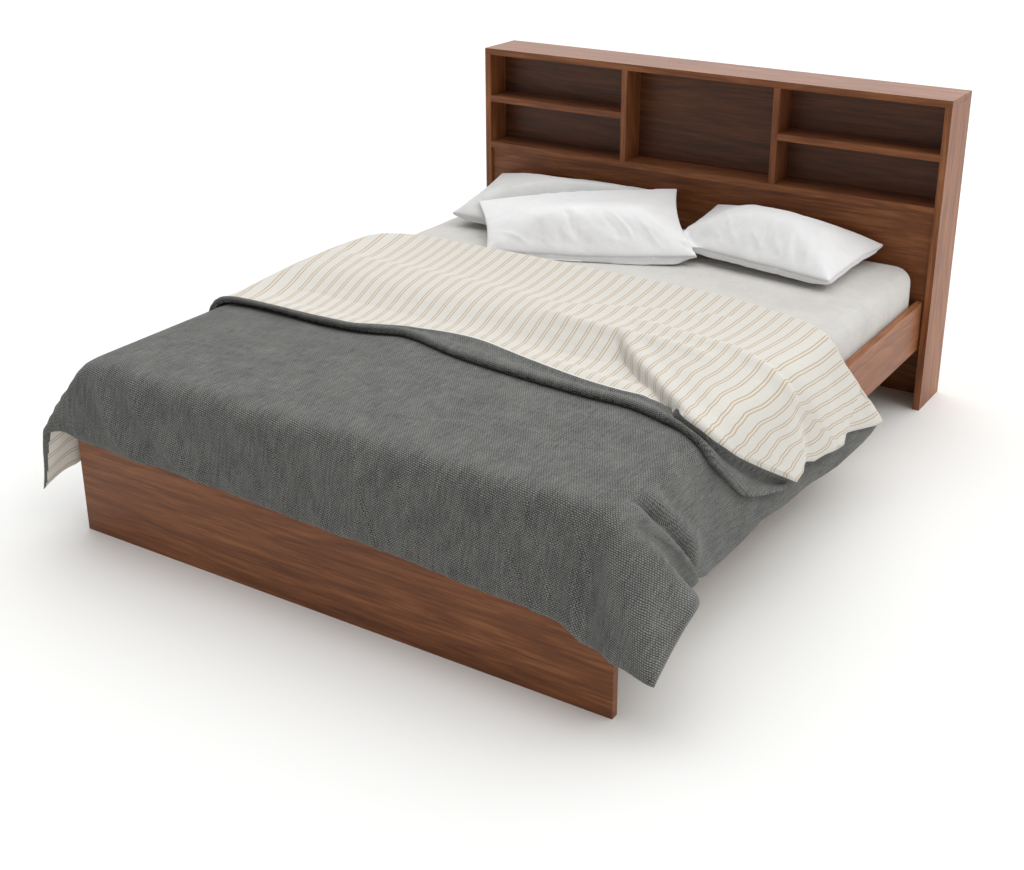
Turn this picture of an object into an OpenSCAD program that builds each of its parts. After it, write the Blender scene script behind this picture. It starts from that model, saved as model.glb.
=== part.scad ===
// Double bed with an open shelf headboard, a slatted base, a mattress, three pillows
// and a folded-back duvet. All sizes are in millimetres, +Z is up and +Y points to the headboard.

/* [Boards] */
// Thickness of the walnut boards
board_t = 22; // [18:1:28]
// Height of the headboard
headboard_h = 1026; // [960:2:1200]
// Depth of the headboard from front to back
headboard_d = 193.5; // [180:0.5:260]
// Height of the main shelf's top face above the floor
main_shelf_z = 687; // [640:1:740]
// Depth of the open niches
niche_d = 100; // [80:1:110]
// Thickness of the niches' back panel
niche_back_t = 12; // [8:1:22]
// Width of the middle niche
middle_niche_w = 540; // [400:5:700]
// Setback of the lower front panel behind the side panels' front edges
front_setback = 12; // [4:1:20]
// Setback of the rear panel from the side panels' rear edges
rear_setback = 36.5; // [10:0.5:45]

/* [Frame] */
// Height of the footboard and of the rails' top edge above the floor
frame_h = 372; // [340:1:420]
// Height of the side rails
rail_h = 162; // [140:1:200]
// Setback of the rails from the ends of the footboard
rail_setback = 7; // [3:0.5:12]
// Width of the ledge that carries the slats
ledge_w = 30; // [24:1:45]
// Height of the ledge
ledge_h = 40; // [30:1:50]
// Height of the ledge's underside above the rail's lower edge
ledge_rise = 22; // [10:1:40]
// Width of the centre beam
beam_w = 70; // [60:1:90]
// Height of the centre beam
beam_h = 45; // [35:1:60]
// Side of a square centre leg
leg_w = 50; // [40:1:60]
// Distance of each centre leg from the middle of the beam
leg_offset = 450; // [300:10:700]

/* [Slats] */
// Number of slats on each side of the centre beam
slat_count = 14; // [12:1:18]
// Width of a slat
slat_w = 70; // [55:1:80]
// Thickness of a slat
slat_t = 18; // [14:1:22]
// Width of the webbing that spaces the slats
strap_w = 25; // [20:1:35]
// Thickness of the webbing
strap_t = 1.5; // [1:0.1:2]

/* [Hardware] */
// Diameter of the wooden dowels
dowel_d = 8; // [6:0.5:10]
// Length of a dowel that stands in a board's face
dowel_l = 30; // [24:1:36]
// Depth of a dowel in the face of the board that it enters
dowel_face_depth = 12; // [8:0.5:14]
// Clearance of a dowel or bolt in its bore
bore_clearance = 0.15; // [0.05:0.05:0.3]
// Thickness of the steel corner brackets and beam hangers
steel_t = 3; // [2:0.5:4]
// Width of each leg of a corner bracket
bracket_leg = 45; // [35:1:55]
// Height of a corner bracket
bracket_h = 72; // [60:1:74]
// Diameter of the frame bolts
bolt_d = 8; // [6:1:10]
// Length of the frame bolts under the head
bolt_l = 20; // [14:1:22]
// Diameter of a frame bolt's head
bolt_head_d = 14; // [12:1:18]
// Height of a frame bolt's head
bolt_head_h = 4.5; // [3:0.5:6]
// Diameter of the wood screws
screw_d = 4.5; // [3.5:0.5:6]
// Length of the ledge screws
screw_l = 45; // [38:1:50]
// Diameter of a wood screw's head
screw_head_d = 9; // [7:0.5:12]
// Height of a wood screw's head
screw_head_h = 3; // [2:0.5:4]
// Diameter of the floor glide under a centre leg
glide_d = 40; // [30:1:50]
// Height of the floor glide
glide_h = 4; // [3:0.5:8]

/* [Mattress] */
// Width of the mattress with its sheet
mattress_w = 1600; // [1400:10:1800]
// Length of the mattress with its sheet
mattress_l = 2000; // [1900:10:2050]
// Height of the mattress with its sheet
mattress_h = 200; // [160:5:260]
// Radius of the mattress's upright corners
mattress_corner_r = 70; // [50:5:120]
// Radius of the mattress's top and bottom edges
mattress_edge_r = 48; // [35:1:60]
// Room between the mattress and each side rail
side_room = 4; // [2:0.5:15]
// Room between the mattress and the headboard
mattress_gap = 2; // [1:0.5:8]
// Room between the mattress and the footboard
foot_room = 17.5; // [5:0.5:25]
// Thickness of the fitted sheet
sheet_t = 1.5; // [1:0.5:3]
// Width of the sheet's hem under the mattress
sheet_hem = 70; // [60:5:120]

/* [Pillows] */
// Rise of a pillow's crown above its seam
pillow_rise = 98; // [70:2:120]
// Rise of the crown of the pillow that carries another one
pillow_rise_under = 76; // [60:2:90]
// Depth of a pillow's belly below its seam
pillow_belly = 62; // [40:2:80]
// Drawn-in share of a pillow's long sides
pillow_pull_long = 0.03; // [0.02:0.01:0.12]
// Drawn-in share of a pillow's short sides
pillow_pull_short = 0.05; // [0.02:0.01:0.1]

/* [Duvet] */
// Thickness of the duvet
duvet_t = 16; // [8:1:18]
// Thickness of the turned-back layer
back_t = 14; // [8:1:18]
// Height of the wave across the turned-back layer
wave_h = 22; // [0:1:26]
// Overhang of the duvet at the foot's left end
foot_drop_left = 215; // [180:5:300]
// Overhang of the duvet at the foot's right end
foot_drop_right = 300; // [220:5:320]
// Overhang of the duvet on the left side
side_drop_left = 320; // [240:5:340]
// Overhang of the duvet on the right side
side_drop_right = 292; // [240:5:340]
// Extra overhang of the fold's free end on the right side
fold_drop = 60; // [0:5:90]
// Distance from the fold of the duvet to the headboard's lower panel
pillow_zone = 671.5; // [655:0.5:720]
// Length of the turned-back part
turned_back = 810; // [700:5:900]
// How far the fold's right end lies in front of its middle
fold_right = 134; // [80:2:150]
// How far the fold's left end lies in front of its middle
fold_left = 60; // [30:2:80]
// How far the fold runs back again down the right side
fold_swing = 280; // [200:5:300]
// How far the hem runs back down the right side
hem_swing = 430; // [350:5:450]
// Outward slope of the hanging sides
drape_slope = 0.2; // [0.2:0.01:0.26]
// Thickness of the turned-back layer at its rolled hem
hem_puff = 26; // [20:1:36]

/* [Hidden] */
$fn = 48;

// The footboard's front face is y = 0 while the bed is worked out, and the floor is z = 0.
walnut = [0.42, 0.26, 0.18];
beech = [0.78, 0.66, 0.5];
steel = [0.35, 0.35, 0.37];
soft_gap = 0.4;

rail_in = mattress_w / 2 + side_room;
rail_x = rail_in + board_t;
side_x = rail_x + rail_setback;
headboard_w = 2 * (side_x + board_t);
panel_y = board_t + foot_room + mattress_l + mattress_gap;
headboard_y = panel_y - front_setback;
rear_panel_y = headboard_y + headboard_d - rear_setback - board_t;
rear_y = headboard_y + headboard_d;
top_z = headboard_h - board_t;
shelf_under = main_shelf_z - board_t;
niche_back_y = headboard_y + niche_d;
divider_x = middle_niche_w / 2 + board_t / 2;
niche_h = top_z - main_shelf_z;
niche_shelf_z = main_shelf_z + (niche_h - board_t) / 2;

rail_z = frame_h - rail_h;
slat_top = rail_z + ledge_rise + ledge_h + slat_t;
ledge_z = slat_top - slat_t - ledge_h;
beam_z = slat_top - slat_t - beam_h;
inner_len = panel_y - board_t;

// The mattress stands on the slats, with the sheet's hem between them.
sheet_z = slat_top + soft_gap;
soft_top = sheet_z + mattress_h;
mattress_y = panel_y - mattress_gap - mattress_l / 2;
mattress_foot = mattress_y - mattress_l / 2;

// Returns the smooth step from 0 at a to 1 at b.
function ramp(a, b, x) =
    let (s = max(0, min(1, (x - a) / (b - a))))
    s * s * (3 - 2 * s);

// Returns a point part of the way from a to b.
function mix(a, b, s) = a + (b - a) * s;

// Cloth solids
// A cloth solid is a grid of points on its upper face and the same grid on its lower face.
function grid_faces(rows, cols, base, up) = [
    for (i = [0:rows - 2], j = [0:cols - 2])
        let (a = base + i * cols + j, b = a + 1, c = a + cols + 1, d = a + cols)
        each (up ? [[a, c, b], [a, d, c]] : [[a, b, c], [a, c, d]])
];

function rim_faces(rows, cols) = let (n = rows * cols) [
    for (j = [0:cols - 2]) each [[j, j + 1, n + j + 1], [j, n + j + 1, n + j]],
    for (j = [0:cols - 2])
        let (a = (rows - 1) * cols + j)
        each [[a, n + a + 1, a + 1], [a, n + a, n + a + 1]],
    for (i = [0:rows - 2])
        let (a = i * cols)
        each [[a, n + a + cols, a + cols], [a, n + a, n + a + cols]],
    for (i = [0:rows - 2])
        let (a = i * cols + cols - 1)
        each [[a, a + cols, n + a + cols], [a, n + a + cols, n + a]]
];

module cloth_solid(upper, lower) {
    rows = len(upper);
    cols = len(upper[0]);
    points = concat([for (r = upper) each r], [for (r = lower) each r]);
    faces = concat(
        grid_faces(rows, cols, 0, true),
        grid_faces(rows, cols, rows * cols, false),
        rim_faces(rows, cols)
    );
    polyhedron(points, faces, convexity = 10);
}

// Mattress and sheet
// One level of a padded block: a rectangle with round corners, drawn in by an inset.
corner_steps = 5;
function block_ring(hx, hy, r, inset, z) = [
    for (q = [0:3], k = [0:corner_steps])
        let (
            turn = q * 90 + k * 90 / corner_steps,
            sx = (q == 0 || q == 3) ? 1 : -1,
            sy = (q < 2) ? 1 : -1,
            rr = max(r - inset, 1)
        )
        [sx * (hx - inset - rr) + rr * cos(turn), sy * (hy - inset - rr) + rr * sin(turn), z]
];

edge_steps = 4;
function edge_profile(r, z_low, z_high) = concat(
    [for (k = [0:edge_steps])
        let (t = k * 90 / edge_steps)
        [r * (1 - sin(t)), z_low + r * (1 - cos(t))]],
    [for (k = [0:edge_steps])
        let (t = k * 90 / edge_steps)
        [r * (1 - cos(t)), z_high - r * (1 - sin(t))]]
);

function ring_faces(rings, n) = [
    for (i = [0:rings - 2], k = [0:n - 1])
        let (a = i * n + k, b = i * n + (k + 1) % n)
        each [[a, b + n, b], [a, a + n, b + n]]
];

module stacked_rings(rings) {
    n = len(rings[0]);
    count = len(rings);
    faces = concat(
        ring_faces(count, n),
        [[for (k = [0:n - 1]) k]],
        [[for (k = [n - 1:-1:0]) (count - 1) * n + k]]
    );
    polyhedron([for (r = rings) each r], faces, convexity = 4);
}

// Pillows
// A pillow is a grid from -1 to 1 each way, thickest at its crown and drawn in along its sides.
pillow_rows = 15;
pillow_cols = 19;
pillow_power = 2.6;

// A pillow is given by its seam's corners, front left, front right, back right and back left,
// and the rise of its crown above the seam.
function seam_point(q, u, v) =
    let (
        su = u * (1 - pillow_pull_short * (1 - v * v)),
        sv = v * (1 - pillow_pull_long * (1 - u * u)),
        front = mix(q[0], q[1], (su + 1) / 2),
        back = mix(q[3], q[2], (su + 1) / 2)
    )
    mix(front, back, (sv + 1) / 2);

function pillow_swell(u, v) =
    let (
        fu = max(0, 1 - pow(abs(u), pillow_power)),
        fv = max(0, 1 - pow(abs(v), pillow_power))
    )
    pow(fu * fv, 0.5);

// Height of a pillow's top above a point of the bed, or the bed's own height beside it.
function pillow_top_at(q, x, y) =
    let (
        mid = (q[0] + q[1] + q[2] + q[3]) / 4,
        ax = (q[1] + q[2] - q[0] - q[3]) / 4,
        ay = (q[2] + q[3] - q[0] - q[1]) / 4,
        det = ax[0] * ay[1] - ax[1] * ay[0],
        dx = x - mid[0],
        dy = y - mid[1],
        u = (dx * ay[1] - dy * ay[0]) / det,
        v = (dy * ax[0] - dx * ax[1]) / det
    )
    (abs(u) < 1 && abs(v) < 1)
        ? mid[2] + u * ax[2] + v * ay[2] + q[4] * pillow_swell(u, v)
        : soft_top;

// Highest support within reach of a point, so that flat facets clear a crown between points.
support_reach = 20;
function support_near(under, x, y) = max([
    soft_top,
    for (q = under, i = [-1:1], j = [-1:1])
        pillow_top_at(q, x + i * support_reach, y + j * support_reach)
]);

seam_thickness = 3;
least_swell = 60;
function pillow_point(q, under, u, v, top) =
    let (
        p = seam_point(q, u, v),
        swell = pillow_swell(u, v),
        low = max(p[2] - pillow_belly * swell, support_near(under, p[0], p[1]) + soft_gap),
        high = max(p[2] + q[4] * swell, low + seam_thickness + least_swell * swell)
    )
    [p[0], p[1], top ? high : low];

module pillow(q, under) {
    us = [for (j = [0:pillow_cols - 1]) sin(90 * (2 * j / (pillow_cols - 1) - 1))];
    vs = [for (i = [0:pillow_rows - 1]) sin(90 * (2 * i / (pillow_rows - 1) - 1))];
    upper = [for (v = vs) [for (u = us) pillow_point(q, under, u, v, true)]];
    lower = [for (v = vs) [for (u = us) pillow_point(q, under, u, v, false)]];
    cloth_solid(upper, lower);
}

// A corner's place is a share of half the mattress's width, of the room between the panel and the
// duvet's fold, and of a crown's rise above the bed.
bed_half = mattress_w / 2;
function corner(across, forward, rise) = [
    across * bed_half,
    panel_y - forward * pillow_zone,
    soft_top + rise * pillow_rise
];

// Two pillows lie against the headboard's lower panel.
shape_back_left = [
    corner(-0.89, 0.646, 0.46),
    corner(-0.056, 0.56, 0.46),
    corner(-0.138, 0.018, 0.71),
    corner(-0.974, 0.025, 0.87),
    pillow_rise_under
];
shape_right = [
    corner(0.075, 0.515, 0.53),
    corner(0.82, 0.615, 0.41),
    corner(0.855, 0.033, 0.56),
    corner(0.031, 0.018, 0.765),
    pillow_rise
];

// The front pillow lies askew over both, with its front edge on the mattress.
shape_front = [
    corner(-0.545, 0.952, 0.163),
    corner(0.254, 0.582, 0.357),
    corner(-0.051, 0.088, 1.449),
    corner(-0.794, 0.579, 0.949),
    pillow_rise
];

// Duvet
// The sharp drape is smoothed by taking its mean over a small square of the cloth.
edge_ease = 6;
drape_x = bed_half + edge_ease;
drape_y = board_t;
drape_z = soft_top + soft_gap;
smooth_reach = 34;
fold_y = panel_y - pillow_zone;
hem_y = fold_y - turned_back;

// Directions of the corner's folds round the mattress corner: turn in the flat cloth from the
// foot to the side, then the direction in space for each millimetre of cloth.
fold_turns = [0, 22, 44, 69, 95, 139];
right_folds = [
    [0, -drape_slope, -0.98],
    [0.17, -0.26, -0.93],
    [0.345, -0.165, -0.806],
    [0.49, 0.45, -0.745],
    [0.213, 0.742, -0.955],
    [0.131, 0.755, -0.643]
];
left_turns = [0, 15, 26, 56, 90, 139];
left_folds = [
    [0, -drape_slope, -0.98],
    [0.24, -0.22, -0.86],
    [0.38, -0.31, -0.84],
    [0.31, -0.229, -0.98],
    [0.2, 0, -0.98],
    [0.131, 0.755, -0.643]
];

function turn_table(turns, folds, axis) = [for (k = [0:len(turns) - 1]) [turns[k], folds[k][axis]]];
right_table = [for (axis = [0:2]) turn_table(fold_turns, right_folds, axis)];
left_table = [for (axis = [0:2]) turn_table(left_turns, left_folds, axis)];

// Soft waves on the top of the duvet, none at its edges.
calm_edge = 260;
function top_wave(a, y) =
    ramp(drape_x, drape_x - calm_edge, abs(a)) * ramp(drape_y, drape_y + calm_edge, y)
    * (4 + 3 * sin(a * 0.31 + 40) * sin(y * 0.24) + 2 * sin(y * 0.5 + a * 0.2));

// Upright folds where the duvet hangs over the footboard: place and width as shares, and depth.
foot_folds = [[-0.745, 0.074, 16], [-0.533, 0.062, 12], [0.856, 0.068, 16], [0.149, 0.136, 7]];
function bell(x, middle, width) = exp(-pow((x - middle) / width, 2));
function total(list, i = 0) = i < len(list) ? list[i] + total(list, i + 1) : 0;
function foot_fold(a) = total([for (f = foot_folds) f[2] * bell(a / drape_x, f[0], f[1])]);

side_wave = 9;
function side_fold(y) = side_wave * sin(y * 0.62) * ramp(0.18, 0.31, y / fold_y);

// The fold's free end stands off from the bed.
fold_flare = 28;
function flare(y, u) =
    fold_flare * ramp(0.89, 1.1, y / fold_y) * pow(u / side_drop_right, 2);

function sharp_drape(a, y) =
    let (
        side = a < 0 ? -1 : 1,
        u = abs(a) - drape_x,
        v = drape_y - y,
        turn = atan2(u, v),
        reach = norm([u, v]),
        table = side > 0 ? right_table : left_table
    )
    (u <= 0 && v <= 0) ? [a, y, drape_z + top_wave(a, y)]
    : (u <= 0) ? [a, drape_y - drape_slope * v - foot_fold(a) * v / foot_drop_right, drape_z - 0.98 * v]
    : (turn > 139) ? [
        side * (drape_x + drape_slope * u + side_fold(y) * u / side_drop_right + flare(y, u)),
        y,
        drape_z - 0.98 * u
    ]
    : [
        side * (drape_x + reach * lookup(turn, table[0])),
        drape_y + reach * lookup(turn, table[1]),
        drape_z + reach * lookup(turn, table[2])
    ];

function drape(a, y) = let (r = smooth_reach) (
    sharp_drape(a - r, y - r) + sharp_drape(a, y - r) + sharp_drape(a + r, y - r)
    + sharp_drape(a - r, y) + sharp_drape(a, y) + sharp_drape(a + r, y)
    + sharp_drape(a - r, y + r) + sharp_drape(a, y + r) + sharp_drape(a + r, y + r)
) / 9;

function drape_normal(a, y) =
    let (
        across = drape(a + 8, y) - drape(a - 8, y),
        along = drape(a, y + 8) - drape(a, y - 8),
        n = cross(across, along)
    )
    n / norm(n);

// Lines that bound the turned-back layer, by the place across the cloth.
function fold_line(a) =
    let (q = a / drape_x)
    abs(q) < 1
        ? fold_y - fold_right * (0.3 * ramp(0.41, 0.745, q) + 0.7 * ramp(0.695, 1, q))
            - fold_left * ramp(0.87, 1, -q)
        : (q > 0
            ? fold_y - fold_right + fold_swing * (a - drape_x) / (side_drop_right + fold_drop)
            : fold_y - fold_left * (1 - (-a - drape_x) / side_drop_left));

hem_rise = 46;
hem_step = 54;
hem_sweep = 50;
function top_hem(q) =
    hem_y + hem_rise * bell(q, -0.22, 0.14) - hem_step * ramp(0, 0.45, q)
    - hem_sweep * ramp(0.8, 1, q);

function hem_line(a) =
    let (q = a / drape_x)
    abs(q) < 1
        ? top_hem(q)
        : (q > 0
            ? top_hem(1) + hem_swing * (a - drape_x) / (side_drop_right + fold_drop)
            : top_hem(-1));

foot_tip = 36;
function foot_drop(a) =
    let (q = max(-1, min(1, a / drape_x)))
    mix(foot_drop_left, foot_drop_right - foot_tip, (q + 1) / 2) + foot_tip * ramp(0.87, 1, q);

function side_drop(side, y) =
    side < 0
        ? side_drop_left
        : side_drop_right + fold_drop * ramp(0.42, 1.12, (y - hem_y) / turned_back);

side_steps = 5;
top_steps = 13;
duvet_cols = 2 * side_steps + top_steps + 1;
// Place of a column across the cloth: overhang, top, overhang.
function column_a(j, y) =
    j < side_steps ? -drape_x - side_drop(-1, y) * (side_steps - j) / side_steps
    : j > side_steps + top_steps
        ? drape_x + side_drop(1, y) * (j - side_steps - top_steps) / side_steps
        : drape_x * sin(90 * (2 * (j - side_steps) / top_steps - 1));

foot_steps = 4;
length_steps = 9;
back_steps = 8;
function row_place(i, j) =
    let (a0 = column_a(j, hem_y))
    i < foot_steps ? drape_y - foot_drop(a0) * (foot_steps - i) / foot_steps
    : drape_y + (fold_line(a0) - drape_y) * (1 - cos(90 * (i - foot_steps) / length_steps));

function back_place(i, j) =
    let (a0 = column_a(j, hem_y))
    mix(fold_line(a0), hem_line(a0), i / back_steps);

// The turned-back layer rises in one long wave across the bed, which fades down its sides.
// It is stronger on the left, and the layer is thicker at its rolled hem.
wave_fade = 40;
wave_reach = 200;
function back_wave(a, s) =
    wave_h * ramp(0.2, 0.52, s) * ramp(0.82, 0.6, s)
    * ramp(drape_x + wave_reach, drape_x + wave_fade, abs(a)) * mix(1, 0.45, ramp(0, 0.6, a / drape_x));

function back_thick(s) = back_t + (hem_puff - back_t) * ramp(0.8, 0.97, s);

function lower_pair(i, j) =
    let (y = row_place(i, j), a = column_a(j, y), p = drape(a, y), n = drape_normal(a, y))
    [p, p + n * duvet_t];

// The fold is a half-round edge: the inside fabric goes round the outside fabric.
fold_stand = 3;
function fold_pair(j) =
    let (
        y = fold_line(column_a(j, hem_y)),
        a = column_a(j, y),
        p = drape(a, y),
        n = drape_normal(a, y),
        mid = p + n * (duvet_t + soft_gap / 2)
    )
    [mid + [0, duvet_t + fold_stand, 0], mid + [0, fold_stand, 0]];

function back_pair(i, j) =
    let (
        y = back_place(i, j),
        s = i / back_steps,
        a = column_a(j, y),
        p = drape(a, y),
        n = drape_normal(a, y),
        low = duvet_t + soft_gap + back_wave(a, s)
    )
    [p + n * (low + back_thick(s)), p + n * low];

duvet_rows = concat(
    [for (i = [0:foot_steps + length_steps]) [for (j = [0:duvet_cols - 1]) lower_pair(i, j)]],
    [[for (j = [0:duvet_cols - 1]) fold_pair(j)]],
    [for (i = [0:back_steps]) [for (j = [0:duvet_cols - 1]) back_pair(i, j)]]
);

duvet_grey = [for (r = duvet_rows) [for (p = r) p[1]]];
duvet_stripe = [for (r = duvet_rows) [for (p = r) p[0]]];
duvet_xs = [for (r = duvet_rows) for (p = r) each [p[0][0], p[1][0]]];
duvet_ys = [for (r = duvet_rows) for (p = r) each [p[0][1], p[1][1]]];

// The whole bed stands with the middle of its own box over the origin.
mid_x = (min(duvet_xs) + max(duvet_xs)) / 2;
mid_y = (min(duvet_ys) + rear_y) / 2;

module placed() {
    translate([-mid_x, -mid_y, 0]) children();
}

// A board between two corners.
module board(low, high) {
    translate(low) cube(high - low);
}

module rod(from, axis, d, l) {
    turn = axis == "x" ? [0, 90, 0] : axis == "y" ? [-90, 0, 0] : [0, 0, 0];
    translate(from) rotate(turn) cylinder(d = d, h = l);
}

// Dowels
// Each dowel is [x, y, z of its middle, axis]. It is centred on the joint between two boards
// and reaches dowel_face_depth into the face and the rest into the board's end.
dowel_bore = dowel_d + 2 * bore_clearance;
bolt_bore = bolt_d + 2 * bore_clearance;
end_room = 0.5;
dowel_in = dowel_face_depth;
dowel_out = dowel_l - dowel_face_depth;
dowel_inset = 25;
dowel_front_y = headboard_y + dowel_inset;
dowel_rear_y = headboard_y + niche_d - dowel_inset;
panel_dowel_inset = 55;
rear_dowel_inset = 110;

side_dowel_z = [
    [dowel_front_y, shelf_under + board_t / 2],
    [dowel_rear_y, shelf_under + board_t / 2],
    [dowel_front_y, niche_shelf_z + board_t / 2],
    [dowel_rear_y, niche_shelf_z + board_t / 2],
    for (s = [0, 0.5, 1])
        [panel_y + board_t / 2, mix(rail_z + panel_dowel_inset, shelf_under - panel_dowel_inset, s)],
    for (s = [0, 0.5, 1])
        [rear_panel_y + board_t / 2, mix(rear_dowel_inset, top_z - rear_dowel_inset, s)]
];

// All dowels that enter the two side panels, with the given diameter and end allowance.
module side_dowels(side, d, extra) {
    for (p = side_dowel_z) {
        rod([side * side_x - (side > 0 ? dowel_out : dowel_in) - extra, p[0], p[1]], "x", d,
            dowel_l + 2 * extra);
    }
}

module top_dowels(d, extra) {
    for (x = [-side_x - board_t / 2, -divider_x, divider_x, side_x + board_t / 2]) {
        for (y = [dowel_front_y, dowel_rear_y]) {
            rod([x, y, top_z - dowel_out - extra], "z", d, dowel_l + 2 * extra);
        }
    }
}

module divider_dowels(d, extra) {
    for (x = [-divider_x, divider_x]) {
        for (y = [dowel_front_y, dowel_rear_y]) {
            rod([x, y, main_shelf_z - dowel_in - extra], "z", d, dowel_l + 2 * extra);
        }
    }
}

// Dowels from the niche shelves into the dividers.
module shelf_dowels(side, d, extra) {
    x = side * (divider_x + board_t / 2);
    for (y = [dowel_front_y, dowel_rear_y]) {
        rod([x - (side > 0 ? dowel_in : dowel_out) - extra, y, niche_shelf_z + board_t / 2], "x", d,
            dowel_l + 2 * extra);
    }
}

module all_dowels(d, extra) {
    side_dowels(-1, d, extra);
    side_dowels(1, d, extra);
    top_dowels(d, extra);
    divider_dowels(d, extra);
    shelf_dowels(-1, d, extra);
    shelf_dowels(1, d, extra);
}

// Headboard boards
module headboard_side(side) {
    difference() {
        board(
            [side > 0 ? side_x : -side_x - board_t, headboard_y, 0],
            [side > 0 ? side_x + board_t : -side_x, rear_y, top_z]
        );
        side_dowels(side, dowel_bore, end_room);
        top_dowels(dowel_bore, end_room);
    }
}

module headboard_side_left() {
    color(walnut) placed() headboard_side(-1);
}

module headboard_side_right() {
    color(walnut) placed() headboard_side(1);
}

module headboard_top() {
    color(walnut) placed() difference() {
        board([-headboard_w / 2, headboard_y, top_z], [headboard_w / 2, rear_y, headboard_h]);
        top_dowels(dowel_bore, end_room);
    }
}

module main_shelf() {
    color(walnut) placed() difference() {
        board([-side_x, headboard_y, shelf_under], [side_x, rear_panel_y, main_shelf_z]);
        side_dowels(-1, dowel_bore, end_room);
        side_dowels(1, dowel_bore, end_room);
        divider_dowels(dowel_bore, end_room);
    }
}

module divider(side) {
    difference() {
        board(
            [side * divider_x - board_t / 2, headboard_y, main_shelf_z],
            [side * divider_x + board_t / 2, headboard_y + niche_d, top_z]
        );
        top_dowels(dowel_bore, end_room);
        divider_dowels(dowel_bore, end_room);
        shelf_dowels(side, dowel_bore, end_room);
    }
}

module divider_left() {
    color(walnut) placed() divider(-1);
}

module divider_right() {
    color(walnut) placed() divider(1);
}

module niche_shelf(side) {
    inner = divider_x + board_t / 2;
    difference() {
        board(
            [side > 0 ? inner : -side_x, headboard_y, niche_shelf_z],
            [side > 0 ? side_x : -inner, headboard_y + niche_d, niche_shelf_z + board_t]
        );
        side_dowels(side, dowel_bore, end_room);
        shelf_dowels(side, dowel_bore, end_room);
    }
}

module niche_shelf_left() {
    color(walnut) placed() niche_shelf(-1);
}

module niche_shelf_right() {
    color(walnut) placed() niche_shelf(1);
}

module niche_back() {
    color(walnut) placed()
        board([-side_x, niche_back_y, main_shelf_z], [side_x, niche_back_y + niche_back_t, top_z]);
}

module headboard_front_panel() {
    color(walnut) placed() difference() {
        board([-side_x, panel_y, rail_z], [side_x, panel_y + board_t, shelf_under]);
        side_dowels(-1, dowel_bore, end_room);
        side_dowels(1, dowel_bore, end_room);
        bracket_bolt_set(1, bolt_bore, end_room, false);
        hanger_screw_set(1, screw_d, end_room, false);
    }
}

module headboard_rear_panel() {
    color(walnut) placed() difference() {
        board([-side_x, rear_panel_y, 0], [side_x, rear_panel_y + board_t, top_z]);
        side_dowels(-1, dowel_bore, end_room);
        side_dowels(1, dowel_bore, end_room);
    }
}

module headboard_dowels() {
    color(beech) placed() all_dowels(dowel_d, 0);
}

// Frame boards
module footboard() {
    color(walnut) placed() difference() {
        board([-side_x, 0, 0], [side_x, board_t, frame_h]);
        bracket_bolt_set(-1, bolt_bore, end_room, false);
        hanger_screw_set(-1, screw_d, end_room, false);
    }
}

// Corner brackets stand inside the rails at both ends.
bracket_z = rail_z + 5;
bolt_inset = 18;
bolt_row = [bracket_z + bolt_inset, bracket_z + bracket_h - bolt_inset];
bolt_arm_share = 0.6;
bolt_arm = bracket_leg * bolt_arm_share;

// Bolts along X, through the bracket's long leg into the rail.
module rail_bolts(side, end, d, extra, heads) {
    y = end < 0 ? board_t + bolt_arm : panel_y - bolt_arm;
    for (z = bolt_row) {
        inner = rail_in - steel_t;
        translate([side * inner, y, z]) rotate([0, side * 90, 0]) {
            translate([0, 0, -extra]) cylinder(d = d, h = bolt_l + 2 * extra);
            if (heads) {
                translate([0, 0, -bolt_head_h]) cylinder(d = bolt_head_d, h = bolt_head_h);
            }
        }
    }
}

// Bolts along Y, through the bracket's short leg into the footboard or the headboard's panel.
module end_bolts(side, end, d, extra, heads) {
    x = side * (rail_in - bolt_arm);
    y = end < 0 ? board_t + steel_t : panel_y - steel_t;
    for (z = bolt_row) {
        translate([x, y, z]) rotate([end < 0 ? 90 : -90, 0, 0]) {
            translate([0, 0, -extra]) cylinder(d = d, h = bolt_l + 2 * extra);
            if (heads) {
                translate([0, 0, -bolt_head_h]) cylinder(d = bolt_head_d, h = bolt_head_h);
            }
        }
    }
}

module bracket_bolt_set(end, d, extra, heads) {
    for (side = [-1, 1]) {
        rail_bolts(side, end, d, extra, heads);
        end_bolts(side, end, d, extra, heads);
    }
}

module corner_bracket(side, end) {
    y0 = end < 0 ? board_t : panel_y - bracket_leg;
    y1 = end < 0 ? board_t + bracket_leg : panel_y;
    yp = end < 0 ? board_t : panel_y - steel_t;
    outer = rail_in;
    inner = rail_in - bracket_leg;
    difference() {
        union() {
            board(
                [side > 0 ? outer - steel_t : -outer, y0, bracket_z],
                [side > 0 ? outer : -outer + steel_t, y1, bracket_z + bracket_h]
            );
            board(
                [side > 0 ? inner : -outer, yp, bracket_z],
                [side > 0 ? outer : -inner, yp + steel_t, bracket_z + bracket_h]
            );
        }
        bracket_bolt_set(end, bolt_bore, end_room, false);
    }
}

module side_rail(side) {
    difference() {
        board(
            [side > 0 ? rail_in : -rail_x, board_t, rail_z],
            [side > 0 ? rail_x : -rail_in, panel_y, frame_h]
        );
        bracket_bolt_set(-1, bolt_bore, end_room, false);
        bracket_bolt_set(1, bolt_bore, end_room, false);
        ledge_screw_set(side, screw_d, end_room, false);
    }
}

module side_rail_left() {
    color(walnut) placed() side_rail(-1);
}

module side_rail_right() {
    color(walnut) placed() side_rail(1);
}

// The ledges stop short of the corner brackets.
ledge_clear = 8;
ledge_start = board_t + bracket_leg + ledge_clear;
ledge_end = panel_y - bracket_leg - ledge_clear;
ledge_screws_n = 6;
ledge_screw_inset = 60;

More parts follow.
